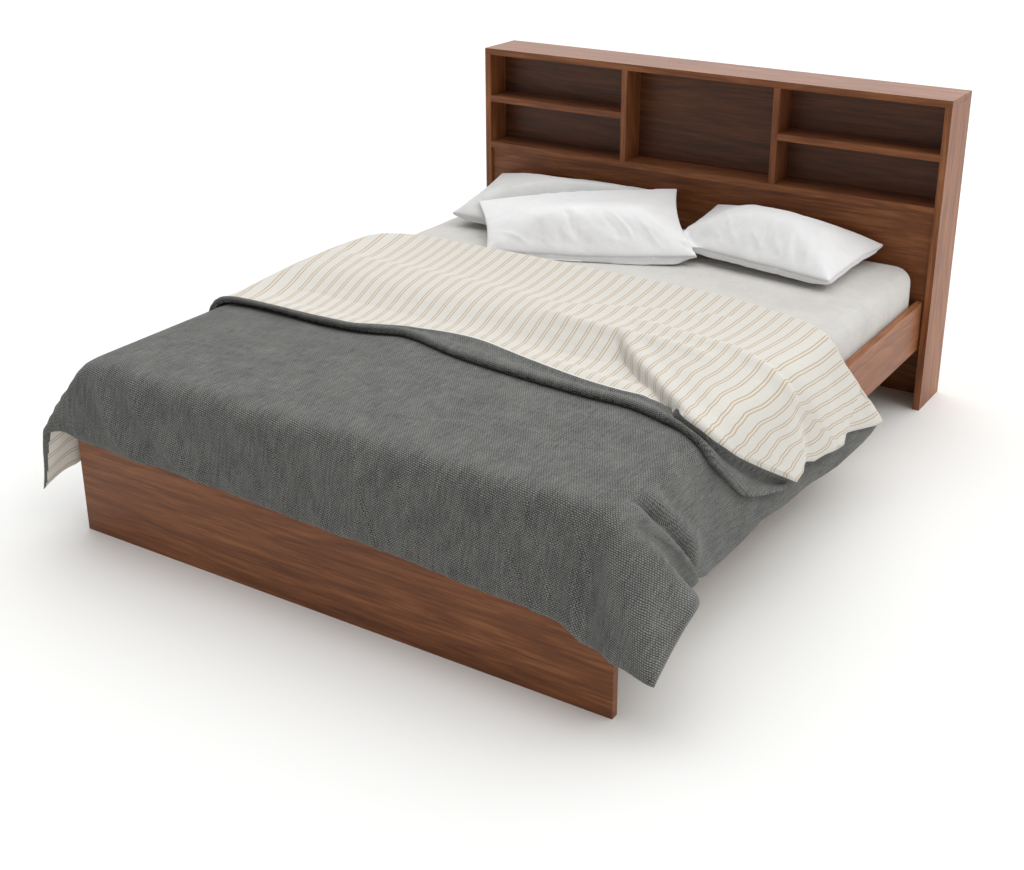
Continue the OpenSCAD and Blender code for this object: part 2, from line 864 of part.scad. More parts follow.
module ledge_screw_set(side, d, extra, heads) {
    x = side * (rail_in - ledge_w);
    for (k = [0:ledge_screws_n - 1]) {
        y = mix(
            ledge_start + ledge_screw_inset,
            ledge_end - ledge_screw_inset,
            k / (ledge_screws_n - 1)
        );
        translate([x, y, ledge_z + ledge_h / 2]) rotate([0, side * 90, 0]) {
            translate([0, 0, -extra]) cylinder(d = d, h = screw_l + 2 * extra);
            if (heads) {
                translate([0, 0, -screw_head_h]) cylinder(d = screw_head_d, h = screw_head_h);
            }
        }
    }
}

module slat_ledge(side) {
    difference() {
        board(
            [side > 0 ? rail_in - ledge_w : -rail_in, ledge_start, ledge_z],
            [side > 0 ? rail_in : -rail_in + ledge_w, ledge_end, ledge_z + ledge_h]
        );
        ledge_screw_set(side, screw_d, end_room, false);
    }
}

module slat_ledge_left() {
    color(beech) placed() slat_ledge(-1);
}

module slat_ledge_right() {
    color(beech) placed() slat_ledge(1);
}

module ledge_screws() {
    color(steel) placed() {
        ledge_screw_set(-1, screw_d - bore_clearance, 0, true);
        ledge_screw_set(1, screw_d - bore_clearance, 0, true);
    }
}

module bracket_foot_left() {
    color(steel) placed() corner_bracket(-1, -1);
}

module bracket_foot_right() {
    color(steel) placed() corner_bracket(1, -1);
}

module bracket_head_left() {
    color(steel) placed() corner_bracket(-1, 1);
}

module bracket_head_right() {
    color(steel) placed() corner_bracket(1, 1);
}

module bracket_bolts() {
    color(steel) placed() {
        bracket_bolt_set(-1, bolt_d, 0, true);
        bracket_bolt_set(1, bolt_d, 0, true);
    }
}

// Centre beam, its hangers and legs
module centre_beam() {
    color(beech) placed() difference() {
        board(
            [-beam_w / 2, board_t + steel_t, beam_z],
            [beam_w / 2, panel_y - steel_t, beam_z + beam_h]
        );
        for (end = [-1, 1]) {
            leg_bolt(end, bolt_bore, end_room);
        }
    }
}

// Each hanger is a steel cup: a back plate with a floor and two cheeks.
hanger_reach = 50;
hanger_lip = 18;
hanger_side = 0.5;
hanger_plate_drop = 4;
hanger_cheek_drop = 12;
hanger_screw_bite = 16;
hanger_screw_low = 8;
hanger_screw_high = 14;

module beam_hanger(end) {
    y_back = end < 0 ? board_t : panel_y - steel_t;
    y0 = end < 0 ? board_t : panel_y - hanger_reach;
    y1 = end < 0 ? board_t + hanger_reach : panel_y;
    half = beam_w / 2 + hanger_side;
    difference() {
        union() {
            board(
                [-half - hanger_lip, y_back, beam_z - steel_t],
                [half + hanger_lip, y_back + steel_t, beam_z + beam_h - hanger_plate_drop]
            );
            board([-half - steel_t, y0, beam_z - steel_t], [half + steel_t, y1, beam_z]);
            for (side = [-1, 1]) {
                board(
                    [side > 0 ? half : -half - steel_t, y0, beam_z - steel_t],
                    [side > 0 ? half + steel_t : -half, y1, beam_z + beam_h - hanger_cheek_drop]
                );
            }
        }
        hanger_screw_set(end, screw_d, end_room, false);
    }
}

module hanger_screw_set(end, d, extra, heads) {
    x = beam_w / 2 + hanger_side + hanger_lip / 2 + steel_t / 2;
    y = end < 0 ? board_t + steel_t : panel_y - steel_t;
    for (side = [-1, 1], z = [beam_z + hanger_screw_low, beam_z + beam_h - hanger_screw_high]) {
        translate([side * x, y, z]) rotate([end < 0 ? 90 : -90, 0, 0]) {
            translate([0, 0, -extra]) cylinder(
                d = d,
                h = steel_t + hanger_screw_bite + 2 * extra
            );
            if (heads) {
                translate([0, 0, -screw_head_h]) cylinder(d = screw_head_d, h = screw_head_h);
            }
        }
    }
}

module beam_hanger_foot() {
    color(steel) placed() beam_hanger(-1);
}

module beam_hanger_head() {
    color(steel) placed() beam_hanger(1);
}

module hanger_screws() {
    color(steel) placed() {
        hanger_screw_set(-1, screw_d - bore_clearance, 0, true);
        hanger_screw_set(1, screw_d - bore_clearance, 0, true);
    }
}

beam_mid_y = board_t + inner_len / 2;
leg_bolt_in = 30;

module leg_bolt(end, d, extra) {
    rod([0, beam_mid_y + end * leg_offset, beam_z - leg_bolt_in - extra], "z", d,
        2 * leg_bolt_in + 2 * extra);
}

module centre_leg(end) {
    y = beam_mid_y + end * leg_offset;
    difference() {
        board([-leg_w / 2, y - leg_w / 2, glide_h], [leg_w / 2, y + leg_w / 2, beam_z]);
        leg_bolt(end, bolt_bore, end_room);
    }
}

module centre_leg_foot() {
    color(beech) placed() centre_leg(-1);
}

module centre_leg_head() {
    color(beech) placed() centre_leg(1);
}

module leg_bolts() {
    color(steel) placed() {
        leg_bolt(-1, bolt_d, 0);
        leg_bolt(1, bolt_d, 0);
    }
}

module leg_glides() {
    color([0.15, 0.15, 0.16]) placed() {
        for (end = [-1, 1]) {
            translate([0, beam_mid_y + end * leg_offset, 0]) cylinder(d = glide_d, h = glide_h);
        }
    }
}

// Slats
slat_in = 3;
slat_end_gap = 9;
slat_first = ledge_start + slat_w / 2;
slat_last = ledge_end - slat_w / 2;

module slat_row(side) {
    for (k = [0:slat_count - 1]) {
        y = mix(slat_first, slat_last, k / (slat_count - 1));
        board(
            [side > 0 ? slat_in : -rail_in + slat_end_gap, y - slat_w / 2, slat_top - slat_t],
            [side > 0 ? rail_in - slat_end_gap : -slat_in, y + slat_w / 2, slat_top]
        );
    }
}

module slats_left() {
    color(beech) placed() slat_row(-1);
}

module slats_right() {
    color(beech) placed() slat_row(1);
}

strap_shares = [0.25, 0.75];

module slat_straps() {
    color([0.9, 0.9, 0.88]) placed() {
        for (side = [-1, 1], share = strap_shares) {
            x = side * share * bed_half;
            board(
                [x - strap_w / 2, slat_first - slat_w / 2, slat_top - slat_t - strap_t],
                [x + strap_w / 2, slat_last + slat_w / 2, slat_top - slat_t]
            );
        }
    }
}

// Bedding
module mattress() {
    gap = sheet_t + soft_gap;
    color([0.93, 0.92, 0.9]) placed() translate([0, mattress_y, 0]) stacked_rings([
        for (p = edge_profile(mattress_edge_r - gap, sheet_z + gap, soft_top - gap))
            block_ring(mattress_w / 2 - gap, mattress_l / 2 - gap, mattress_corner_r - gap, p[0], p[1])
    ]);
}

module fitted_sheet() {
    inner = sheet_t;
    outside = edge_profile(mattress_edge_r, sheet_z, soft_top);
    inside = edge_profile(mattress_edge_r - inner, sheet_z + inner, soft_top - inner);
    color([0.88, 0.87, 0.85]) placed() translate([0, mattress_y, 0]) difference() {
        stacked_rings([
            for (p = outside)
                block_ring(mattress_w / 2, mattress_l / 2, mattress_corner_r, p[0], p[1])
        ]);
        stacked_rings([
            for (p = inside)
                block_ring(mattress_w / 2 - inner, mattress_l / 2 - inner,
                    mattress_corner_r - inner, p[0], p[1])
        ]);
        translate([0, 0, sheet_z - 1]) linear_extrude(inner + 2) square(
            [mattress_w - 2 * sheet_hem, mattress_l - 2 * sheet_hem],
            center = true
        );
    }
}

module pillow_back_left() {
    color([0.94, 0.94, 0.94]) placed() pillow(shape_back_left, []);
}

module pillow_front() {
    color([0.96, 0.96, 0.96]) placed() pillow(shape_front, [shape_back_left, shape_right]);
}

module pillow_right() {
    color([0.95, 0.95, 0.95]) placed() pillow(shape_right, []);
}

module duvet() {
    color([0.36, 0.36, 0.35]) placed() cloth_solid(duvet_grey, duvet_stripe);
}

headboard_side_left();
headboard_side_right();
headboard_top();
main_shelf();
divider_left();
divider_right();
niche_shelf_left();
niche_shelf_right();
niche_back();
headboard_front_panel();
headboard_rear_panel();
headboard_dowels();
footboard();
side_rail_left();
side_rail_right();
slat_ledge_left();
slat_ledge_right();
ledge_screws();
bracket_foot_left();
bracket_foot_right();
bracket_head_left();
bracket_head_right();
bracket_bolts();
centre_beam();
beam_hanger_foot();
beam_hanger_head();
hanger_screws();
centre_leg_foot();
centre_leg_head();
leg_bolts();
leg_glides();
slats_left();
slats_right();
slat_straps();
mattress();
fitted_sheet();
pillow_back_left();
pillow_front();
pillow_right();
duvet();
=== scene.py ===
import math

import bmesh
import bpy
import numpy as np
from mathutils import Euler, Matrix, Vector, noise
from mathutils.bvhtree import BVHTree


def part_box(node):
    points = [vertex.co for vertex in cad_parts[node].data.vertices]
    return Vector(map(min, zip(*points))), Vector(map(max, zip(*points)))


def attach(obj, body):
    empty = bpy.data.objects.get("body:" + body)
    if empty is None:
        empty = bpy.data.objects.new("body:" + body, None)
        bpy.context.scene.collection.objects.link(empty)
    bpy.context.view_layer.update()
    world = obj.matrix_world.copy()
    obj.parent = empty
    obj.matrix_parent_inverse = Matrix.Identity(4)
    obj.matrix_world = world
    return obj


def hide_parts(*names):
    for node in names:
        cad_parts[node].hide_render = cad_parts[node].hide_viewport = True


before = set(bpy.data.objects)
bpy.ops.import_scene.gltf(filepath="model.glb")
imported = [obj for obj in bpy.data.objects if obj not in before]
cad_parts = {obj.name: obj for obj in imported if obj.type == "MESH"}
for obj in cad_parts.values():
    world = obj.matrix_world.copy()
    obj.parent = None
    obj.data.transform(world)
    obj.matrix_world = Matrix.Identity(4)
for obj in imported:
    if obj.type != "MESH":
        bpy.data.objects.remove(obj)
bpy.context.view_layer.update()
scene = bpy.context.scene

# Places in this script are in millimetres from the middle of the footboard's front face on the floor.
foot_low, foot_high = (Vector(corner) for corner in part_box("footboard"))
FOOT = Vector(((foot_low.x + foot_high.x) / 2, foot_low.y, 0))


def spot(x, y, z):
    return Vector((x, y, z)) / 1000 + FOOT


def spots(array):
    return array / 1000 + np.array(FOOT)


# Camera
camera_data = bpy.data.cameras.new("camera")
camera_data.sensor_width = 36
camera_data.lens = 51.649
camera_data.shift_x = -0.0198
camera_data.shift_y = -0.0571
camera_data.clip_end = 200
camera = bpy.data.objects.new("camera", camera_data)
camera.location = spot(2132.73, -2409.46, 1958.24)
camera.rotation_euler = Euler([math.radians(turn) for turn in (67.5027, -0.0968, 32.1372)])
scene.collection.objects.link(camera)
scene.camera = camera


# Materials
def srgb(r, g, b):
    def channel(value):
        value /= 255
        return value / 12.92 if value <= 0.04045 else ((value + 0.055) / 1.055) ** 2.4

    return (channel(r), channel(g), channel(b), 1)


class Finish:
    """A material with a Principled shader and short ways to add and join its nodes."""

    def __init__(self, name, roughness=0.6, **sockets):
        self.material = bpy.data.materials.new(name)
        self.material.use_nodes = True
        self.tree = self.material.node_tree
        self.shader = self.tree.nodes["Principled BSDF"]
        self.shader.inputs["Roughness"].default_value = roughness
        for socket, value in sockets.items():
            self.shader.inputs[socket.replace("_", " ")].default_value = value

    def node(self, kind, inputs=None, **settings):
        made = self.tree.nodes.new(kind)
        for key, value in settings.items():
            setattr(made, key, value)
        for key, value in (inputs or {}).items():
            if isinstance(value, bpy.types.NodeSocket):
                self.tree.links.new(value, made.inputs[key])
            else:
                made.inputs[key].default_value = value
        return made

    def math(self, operation, a, b=0.0, c=0.0):
        return self.node("ShaderNodeMath", {0: a, 1: b, 2: c}, operation=operation).outputs[0]

    def ramp(self, factor, stops):
        made = self.node("ShaderNodeValToRGB", {0: factor})
        elements = made.color_ramp.elements
        while len(elements) < len(stops):
            elements.new(0.5)
        for element, (position, color) in zip(elements, stops):
            element.position = position
            element.color = color
        return made.outputs[0]

    def mix(self, factor, a, b):
        return self.node("ShaderNodeMix", {"Factor": factor, 6: a, 7: b}, data_type="RGBA").outputs[2]

    def noise(self, vector, scale, detail=4, rough=0.55, distortion=0.0):
        facts = {"Scale": scale, "Detail": detail, "Roughness": rough, "Distortion": distortion}
        return self.node("ShaderNodeTexNoise", {"Vector": vector, **facts}).outputs["Fac"]

    def place(self, scale=(1, 1, 1), source="Object", turn=(0, 0, 0), shift=(0, 0, 0)):
        origin = self.node("ShaderNodeTexCoord").outputs[source]
        facts = {"Vector": origin, "Scale": scale, "Rotation": turn, "Location": shift}
        return self.node("ShaderNodeMapping", facts).outputs[0]

    def bump(self, height, distance, strength, normal=None):
        inputs = {"Height": height, "Distance": distance, "Strength": strength}
        if normal is not None:
            inputs["Normal"] = normal
        return self.node("ShaderNodeBump", inputs).outputs[0]

    def join(self, socket, output):
        self.tree.links.new(output, self.shader.inputs[socket])


def wood(name, grain, dark, middle, light, roughness=0.42, shift=(0, 0, 0)):
    """Long streaks along the grain, a broad figure of stretched rings and fine pores."""
    finish = Finish(
        name, roughness, Specular_IOR_Level=0.3, Sheen_Weight=0.06, Sheen_Roughness=0.35
    )
    axis = "XYZ".index(grain)

    def layer(along, *facts):
        """Noise drawn out along the grain, where its scale is only a share of that across."""
        stretch = tuple(along if i == axis else 1 for i in range(3))
        return finish.noise(finish.place(stretch, shift=shift), *facts)

    broad = layer(0.12, 7, 3, 0.5, 0.6)
    rings = finish.math("FRACT", finish.math("MULTIPLY", broad, 9))
    rings = finish.math("PINGPONG", rings, 0.5)
    bands = layer(0.05, 26, 4, 0.6, 0.3)
    streaks = layer(0.045, 120, 5, 0.66, 0.2)
    pores = layer(0.03, 460, 2, 0.6)
    tone = finish.math("MULTIPLY_ADD", rings, 0.22, finish.math("MULTIPLY", streaks, 0.62))
    tone = finish.math("MULTIPLY_ADD", bands, 0.34, tone)
    tone = finish.math("MULTIPLY_ADD", broad, 0.12, tone)
    color = finish.ramp(tone, [(0.42, dark), (0.60, middle), (0.76, light)])
    pore = finish.math("GREATER_THAN", pores, 0.61)
    finish.join("Base Color", finish.mix(finish.math("MULTIPLY", pore, 0.42), color, dark))
    finish.join("Roughness", finish.math("MULTIPLY_ADD", streaks, 0.22, roughness - 0.1))
    edge = finish.node("ShaderNodeBevel", {"Radius": 0.0012}, samples=4).outputs[0]
    height = finish.math("MULTIPLY_ADD", pores, -0.4, streaks)
    finish.join("Normal", finish.bump(height, 0.0004, 0.35, edge))
    return finish.material


WALNUT = dict(dark=srgb(92, 50, 24), middle=srgb(127, 74, 40), light=srgb(156, 99, 58))
# Lighter copy of the walnut for the rails and the headboard sides, which face the right lamp: painted
# light
PAINTED_LIGHT_WALNUT = dict(dark=srgb(104, 58, 30), middle=srgb(142, 86, 49), light=srgb(170, 112, 70))
# Darker copy of the walnut for the niches' back panel: painted shade of the recess
PAINTED_SHADE_WALNUT = dict(dark=srgb(56, 29, 13), middle=srgb(84, 46, 23), light=srgb(106, 63, 34))
BEECH = dict(dark=srgb(176, 143, 108), middle=srgb(201, 171, 134), light=srgb(216, 190, 156))
walnut_across = wood("walnut_across", "X", **WALNUT)
# Rails: the lighter walnut, painted light
walnut_along_painted_light = wood("walnut_along_painted_light", "Y", shift=(0.3, 0.7, 0.2), **PAINTED_LIGHT_WALNUT)
walnut_upright = wood("walnut_upright", "Z", shift=(0.6, 0.1, 0.5), **WALNUT)
# Headboard sides: the lighter walnut, painted light
walnut_side_painted_light = wood("walnut_side_painted_light", "Z", shift=(0.1, 0.5, 0.3), **PAINTED_LIGHT_WALNUT)
# Niches' back: the darker walnut, painted shade
walnut_niche_painted_shade = wood("walnut_niche_painted_shade", "X", shift=(0.2, 0.4, 0.8), **PAINTED_SHADE_WALNUT)
beech_across = wood("beech_across", "X", roughness=0.5, **BEECH)
beech_along = wood("beech_along", "Y", roughness=0.5, **BEECH)
beech_upright = wood("beech_upright", "Z", roughness=0.5, **BEECH)


def plain(name, roughness, patches, dark, light, grit, depth, strength, **sockets):
    """Two near tones in small patches, and a fine grit that stands off the surface."""
    finish = Finish(name, roughness, **sockets)
    place = finish.place()
    tones = [(0.3, dark), (0.7, light)]
    finish.join("Base Color", finish.ramp(finish.noise(place, patches), tones))
    finish.join("Normal", finish.bump(finish.noise(place, *grit), depth, strength))
    return finish.material


black_steel = plain(
    "black_steel", 0.42, 30, srgb(62, 62, 64), srgb(74, 74, 76), (1800, 3, 0.6), 0.00005, 0.5,
    Metallic=0.35,
)
glide_plastic = plain(
    "glide_plastic", 0.55, 60, srgb(34, 34, 36), srgb(44, 44, 46), (900,), 0.0001, 0.4
)
white_tape = plain(
    "white_tape", 0.9, 300, srgb(216, 213, 206), srgb(230, 228, 222), (900,), 0.0002, 0.5
)

# Distance between the threads of the slats' webbing, in metres
WEBBING_PITCH = 0.0018


def pale_webbing():
    """Pale cloth in a plain weave."""
    finish = Finish("webbing", 0.85)
    place = finish.place()
    tones = [(0.3, srgb(214, 212, 206)), (0.7, srgb(233, 231, 226))]
    finish.join("Base Color", finish.ramp(finish.noise(place, 400), tones))
    turns = math.tau / WEBBING_PITCH
    split = finish.node("ShaderNodeSeparateXYZ", {0: place})
    across = finish.math("SINE", finish.math("MULTIPLY", split.outputs[0], turns))
    along = finish.math("SINE", finish.math("MULTIPLY", split.outputs[1], turns))
    finish.join("Normal", finish.bump(finish.math("MULTIPLY", across, along), 0.0002, 0.6))
    return finish.material


webbing = pale_webbing()


def cotton(name, dark, light, crease_scale, crease_depth, wrinkles=0):
    """Matte cotton with soft creases, and with long slanted wrinkles of a depth where it is given."""
    finish = Finish(
        name, 0.9, Sheen_Weight=0.25, Sheen_Roughness=0.5, Specular_IOR_Level=0.25
    )
    place = finish.place()
    mottle = finish.noise(place, 9, 4, 0.6)
    fibre = finish.noise(place, 900, 2, 0.5)
    tone = finish.math("MULTIPLY_ADD", fibre, 0.35, finish.math("MULTIPLY", mottle, 0.65))
    finish.join("Base Color", finish.ramp(tone, [(0.35, dark), (0.65, light)]))
    creases = finish.noise(place, crease_scale, 5, 0.5, 1.2)
    soft = finish.bump(creases, crease_depth, 0.7)
    if wrinkles:
        lines = finish.noise(finish.place((1, 0.3, 0.6), turn=(0, 0, 0.5)), 26, 4, 0.5, 1.5)
        soft = finish.bump(lines, wrinkles, 0.6, soft)
    finish.join("Normal", finish.bump(fibre, 0.00025, 0.5, soft))
    return finish.material


sheet_cotton = cotton("sheet_cotton", srgb(204, 201, 196), srgb(217, 215, 211), 7, 0.005, 0.006)
pillow_cotton = cotton("pillow_cotton", srgb(242, 242, 242), srgb(250, 250, 250), 12, 0.004)
# Greyer copy of the pillow cotton for the back left pillow: painted shade from the headboard
pillow_painted_shade = cotton("pillow_painted_shade", srgb(222, 222, 221), srgb(234, 234, 233), 12, 0.004)
piping_cotton = cotton("piping_cotton", srgb(222, 222, 222), srgb(234, 234, 234), 12, 0.001)
ticking = cotton("ticking", srgb(226, 223, 216), srgb(240, 238, 233), 14, 0.003)

# The twill's yarns: how long one shows between its gaps, and how far apart the rows are, in metres
YARN_LENGTH = 0.0072
YARN_PITCH = 0.0045


def grey_twill():
    """Dark grey coarse twill: short yarns in slanted rows, with dark gaps between them."""
    finish = Finish(
        "duvet_grey", 0.92, Sheen_Weight=0.12, Sheen_Roughness=0.45, Specular_IOR_Level=0.2
    )
    place = finish.place(source="UV")
    loose = finish.node("ShaderNodeTexNoise", {"Vector": place, "Scale": 35, "Detail": 2})
    shaken = finish.node(
        "ShaderNodeVectorMath",
        {0: loose.outputs["Color"], 1: (0.006, 0.006, 0), 2: place},
        operation="MULTIPLY_ADD",
    ).outputs[0]
    rows = finish.node(
        "ShaderNodeMapping", {"Vector": shaken, "Rotation": (0, 0, math.radians(9))}
    ).outputs[0]
    gaps = finish.node(
        "ShaderNodeTexBrick",
        {
            "Vector": rows,
            "Scale": 1.0,
            "Mortar Size": 0.0010,
            "Mortar Smooth": 0.8,
            "Brick Width": YARN_LENGTH,
            "Row Height": YARN_PITCH,
        },
    ).outputs["Fac"]
    yarn = finish.noise(finish.place((1, 0.5, 1), "UV"), 420, 2, 0.7)
    slubs = finish.noise(finish.place((1, 0.11, 1), "UV"), 150, 4, 0.7)
    picks = finish.noise(finish.place((0.13, 1, 1), "UV"), 230, 3, 0.65)
    mottle = finish.noise(place, 10, 4, 0.6)
    tone = finish.math("MULTIPLY_ADD", gaps, -0.46, finish.math("MULTIPLY", yarn, 0.42))
    for layer, share in ((slubs, 0.46), (picks, 0.20), (mottle, 0.24)):
        tone = finish.math("MULTIPLY_ADD", layer, share, tone)
    tones = [(0.18, srgb(30, 31, 30)), (0.46, srgb(84, 85, 83)), (0.76, srgb(144, 144, 140))]
    finish.join("Base Color", finish.ramp(tone, tones))
    creases = finish.noise(finish.place((1, 0.45, 1), "UV"), 16, 5, 0.55, 0.8)
    soft = finish.bump(creases, 0.008, 0.7)
    finish.join("Normal", finish.bump(finish.math("SUBTRACT", slubs, gaps), 0.0007, 0.7, soft))
    return finish.material


# Stripes: the distance between two pairs of lines, between the two lines of a pair, a line's width
# and the width over which its edge blurs, in metres
PAIR_PITCH = 0.0427
LINE_APART = 0.0092
LINE_WIDTH = 0.0032
LINE_BLUR = 0.0008


def striped_linen():
    """Pale linen with pairs of fine tan lines, drawn on the cloth's own map."""
    finish = Finish(
        "duvet_stripe", 0.9, Sheen_Weight=0.2, Sheen_Roughness=0.5, Specular_IOR_Level=0.25
    )
    place = finish.place(source="UV")
    split = finish.node("ShaderNodeSeparateXYZ", {0: place})
    wobble = finish.noise(place, 40, 3, 0.6)
    across = finish.math("MULTIPLY_ADD", wobble, 0.0008, split.outputs[0])
    from_pair = finish.math("PINGPONG", across, PAIR_PITCH / 2)
    from_line = finish.math("ABSOLUTE", finish.math("SUBTRACT", from_pair, LINE_APART / 2))
    inner, outer = LINE_WIDTH / 2 - LINE_BLUR, LINE_WIDTH / 2 + LINE_BLUR
    line = finish.node(
        "ShaderNodeMapRange", {0: from_line, 1: inner, 2: outer, 3: 1.0, 4: 0.0}
    ).outputs[0]
    thread_across = finish.noise(finish.place((0.15, 1, 1), "UV"), 900, 2, 0.6)
    thread_along = finish.noise(finish.place((1, 0.15, 1), "UV"), 900, 2, 0.6)
    linen = finish.math("ADD", thread_across, thread_along)
    mean = finish.math("MULTIPLY", linen, 0.5)
    base = finish.ramp(mean, [(0.35, srgb(209, 205, 197)), (0.65, srgb(223, 220, 213))])
    tan = finish.ramp(mean, [(0.35, srgb(168, 138, 90)), (0.65, srgb(190, 163, 117))])
    finish.join("Base Color", finish.mix(finish.math("MULTIPLY", line, 0.85), base, tan))
    creases = finish.noise(place, 14, 5, 0.5, 1.0)
    soft = finish.bump(creases, 0.003, 0.6)
    finish.join("Normal", finish.bump(linen, 0.00035, 0.6, soft))
    return finish.material


def dress(finish, *nodes):
    """Gives nodes of the frame their finish."""
    for node in nodes:
        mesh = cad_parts[node].data
        mesh.materials.clear()
        mesh.materials.append(finish)


# The headboard sides get the lighter walnut: painted light
dress(walnut_side_painted_light, "headboard_side_left", "headboard_side_right")
dress(walnut_across, "headboard_top", "main_shelf", "niche_shelf_left", "niche_shelf_right")
dress(walnut_across, "headboard_front_panel", "headboard_rear_panel", "footboard")
dress(walnut_upright, "divider_left", "divider_right")
# The niches' back gets the darker walnut: painted shade
dress(walnut_niche_painted_shade, "niche_back")
# The rails get the lighter walnut: painted light
dress(walnut_along_painted_light, "side_rail_left", "side_rail_right")
dress(beech_across, "headboard_dowels", "slats_left", "slats_right")
dress(beech_along, "slat_ledge_left", "slat_ledge_right", "centre_beam")
dress(beech_upright, "centre_leg_foot", "centre_leg_head")
dress(black_steel, "bracket_foot_left", "bracket_foot_right", "bracket_head_left")
dress(black_steel, "bracket_head_right", "beam_hanger_foot", "beam_hanger_head")
dress(black_steel, "ledge_screws", "bracket_bolts", "hanger_screws", "leg_bolts")
dress(glide_plastic, "leg_glides")
dress(webbing, "slat_straps")


# Meshes
def piece(name, bm, materials, slot, node=None, smooth=True):
    """Makes an object of a bmesh that is in place, hangs it under the root body when a slot is given,
    and hides the frame node that it replaces.
    """
    for face in bm.faces:
        face.smooth = smooth
    mesh = bpy.data.meshes.new(name)
    bm.to_mesh(mesh)
    bm.free()
    for material in materials:
        mesh.materials.append(material)
    made = bpy.data.objects.new(name, mesh)
    scene.collection.objects.link(made)
    if slot:
        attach(made, "root")
    if node:
        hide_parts(node)
    return made


def two_faced_grid(rows, cols):
    """A grid and its copy, joined round the rim. Each vertex knows its place and its side.

    The copy lies a little higher, so that the faces of both can be turned outwards.
    """
    bm = bmesh.new()
    bmesh.ops.create_grid(bm, x_segments=cols - 1, y_segments=rows - 1, size=1)
    place = bm.verts.layers.int.new("place")
    side = bm.verts.layers.int.new("side")
    for vert in bm.verts:
        i = round((vert.co.y + 1) / 2 * (rows - 1))
        j = round((vert.co.x + 1) / 2 * (cols - 1))
        vert[place] = i * cols + j
    made = bmesh.ops.extrude_face_region(bm, geom=bm.faces[:], use_keep_orig=True)
    for item in made["geom"]:
        if isinstance(item, bmesh.types.BMVert):
            item[side] = 1
            item.co.z += 0.01
    bmesh.ops.recalc_face_normals(bm, faces=bm.faces[:])

    def number(item):
        """A number of its own for each edge and face, from its first and its last vertex."""
        found = [vert.index for vert in item.verts]
        return min(found) * len(bm.verts) + max(found)

    # The copy comes in another order each run, and the simulation has to find the same one.
    bm.verts.sort(key=lambda vert: vert[side] * rows * cols + vert[place])
    bm.verts.index_update()
    bm.edges.sort(key=number)
    bm.faces.sort(key=number)
    return bm, place, side


def smooth_step(low, high, x):
    s = np.clip((np.asarray(x, dtype=float) - low) / (high - low), 0, 1)
    return s * s * (3 - 2 * s)


def bell(x, middle, width):
    return np.exp(-(((np.asarray(x, dtype=float) - middle) / width) ** 2))


def along_points(points, x):
    """Smooth line through a few (place, value) points."""
    xs = np.array([p[0] for p in points], dtype=float)
    ys = np.array([p[1] for p in points], dtype=float)
    slopes = np.gradient(ys, xs)
    x = np.clip(x, xs[0], xs[-1])
    k = np.clip(np.searchsorted(xs, x, side="right") - 1, 0, len(xs) - 2)
    h = xs[k + 1] - xs[k]
    t = (x - xs[k]) / h
    return (
        (2 * t**3 - 3 * t**2 + 1) * ys[k]
        + (t**3 - 2 * t**2 + t) * h * slopes[k]
        + (-2 * t**3 + 3 * t**2) * ys[k + 1]
        + (t**3 - t**2) * h * slopes[k + 1]
    )


def line_at(points, x):
    """Straight line through a few (place, value) points."""
    return np.interp(x, *zip(*points))


def cloth_noise(a, y, scale_a, scale_y, seed):
    flat = [
        noise.noise(Vector((p / scale_a, q / scale_y, seed)))
        for p, q in zip(np.ravel(a), np.ravel(y))
    ]
    return np.array(flat).reshape(np.shape(a))


def fine_creases(a, y, scale_a, scale_y, seed):
    """Thin raised lines where the noise changes its sign."""
    return np.exp(-((cloth_noise(a, y, scale_a, scale_y, seed) / 0.07) ** 2))


# Bed sizes in millimetres, as in the frame
BED_TOP = round(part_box("fitted_sheet")[1][2] * 1000, 3)
HALF = 800


# Mattress and fitted sheet, in metres: the round corners and edges, the distance from an edge to
# the first cut across a face, the sheet's thickness and the width of its turned-in hem
CORNER_R = 0.07
EDGE_R = 0.048
FIRST_CUT = 0.075
SHEET_T = 0.0012
SHEET_HEM = 0.07


def padded_block(inset, cuts):
    """A block with round upright corners and round edges, with its faces cut into small squares."""
    bm = bmesh.new()
    bmesh.ops.create_cube(bm, size=1)
    low, high = (Vector(corner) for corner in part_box("fitted_sheet"))
    low += Vector((inset, inset, inset))
    high -= Vector((inset, inset, inset))
    bmesh.ops.scale(bm, vec=high - low, verts=bm.verts)
    bmesh.ops.translate(bm, vec=(low + high) / 2, verts=bm.verts)
    upright = [e for e in bm.edges if abs((e.verts[0].co - e.verts[1].co).normalized().z) > 0.9]
    rounding = dict(affect="EDGES", profile=0.5, material=-1)
    bmesh.ops.bevel(bm, geom=upright, offset=CORNER_R - inset, segments=8, **rounding)
    rims = [
        e
        for e in bm.edges
        if abs(e.verts[0].co.z - e.verts[1].co.z) < 1e-6 and e.calc_face_angle(0) > 1
    ]
    bmesh.ops.bevel(bm, geom=rims, offset=EDGE_R - inset, segments=6, **rounding)
    for axis, count in enumerate(cuts):
        margin = FIRST_CUT if axis < 2 else 0.0
        span = high[axis] - low[axis] - 2 * margin
        across = Vector([1.0 if i == axis else 0.0 for i in range(3)])
        for k in range(1, count):
            bmesh.ops.bisect_plane(
                bm,
                geom=bm.verts[:] + bm.edges[:] + bm.faces[:],
                plane_co=across * (low[axis] + margin + span * k / count),
                plane_no=across,
            )
    return bm


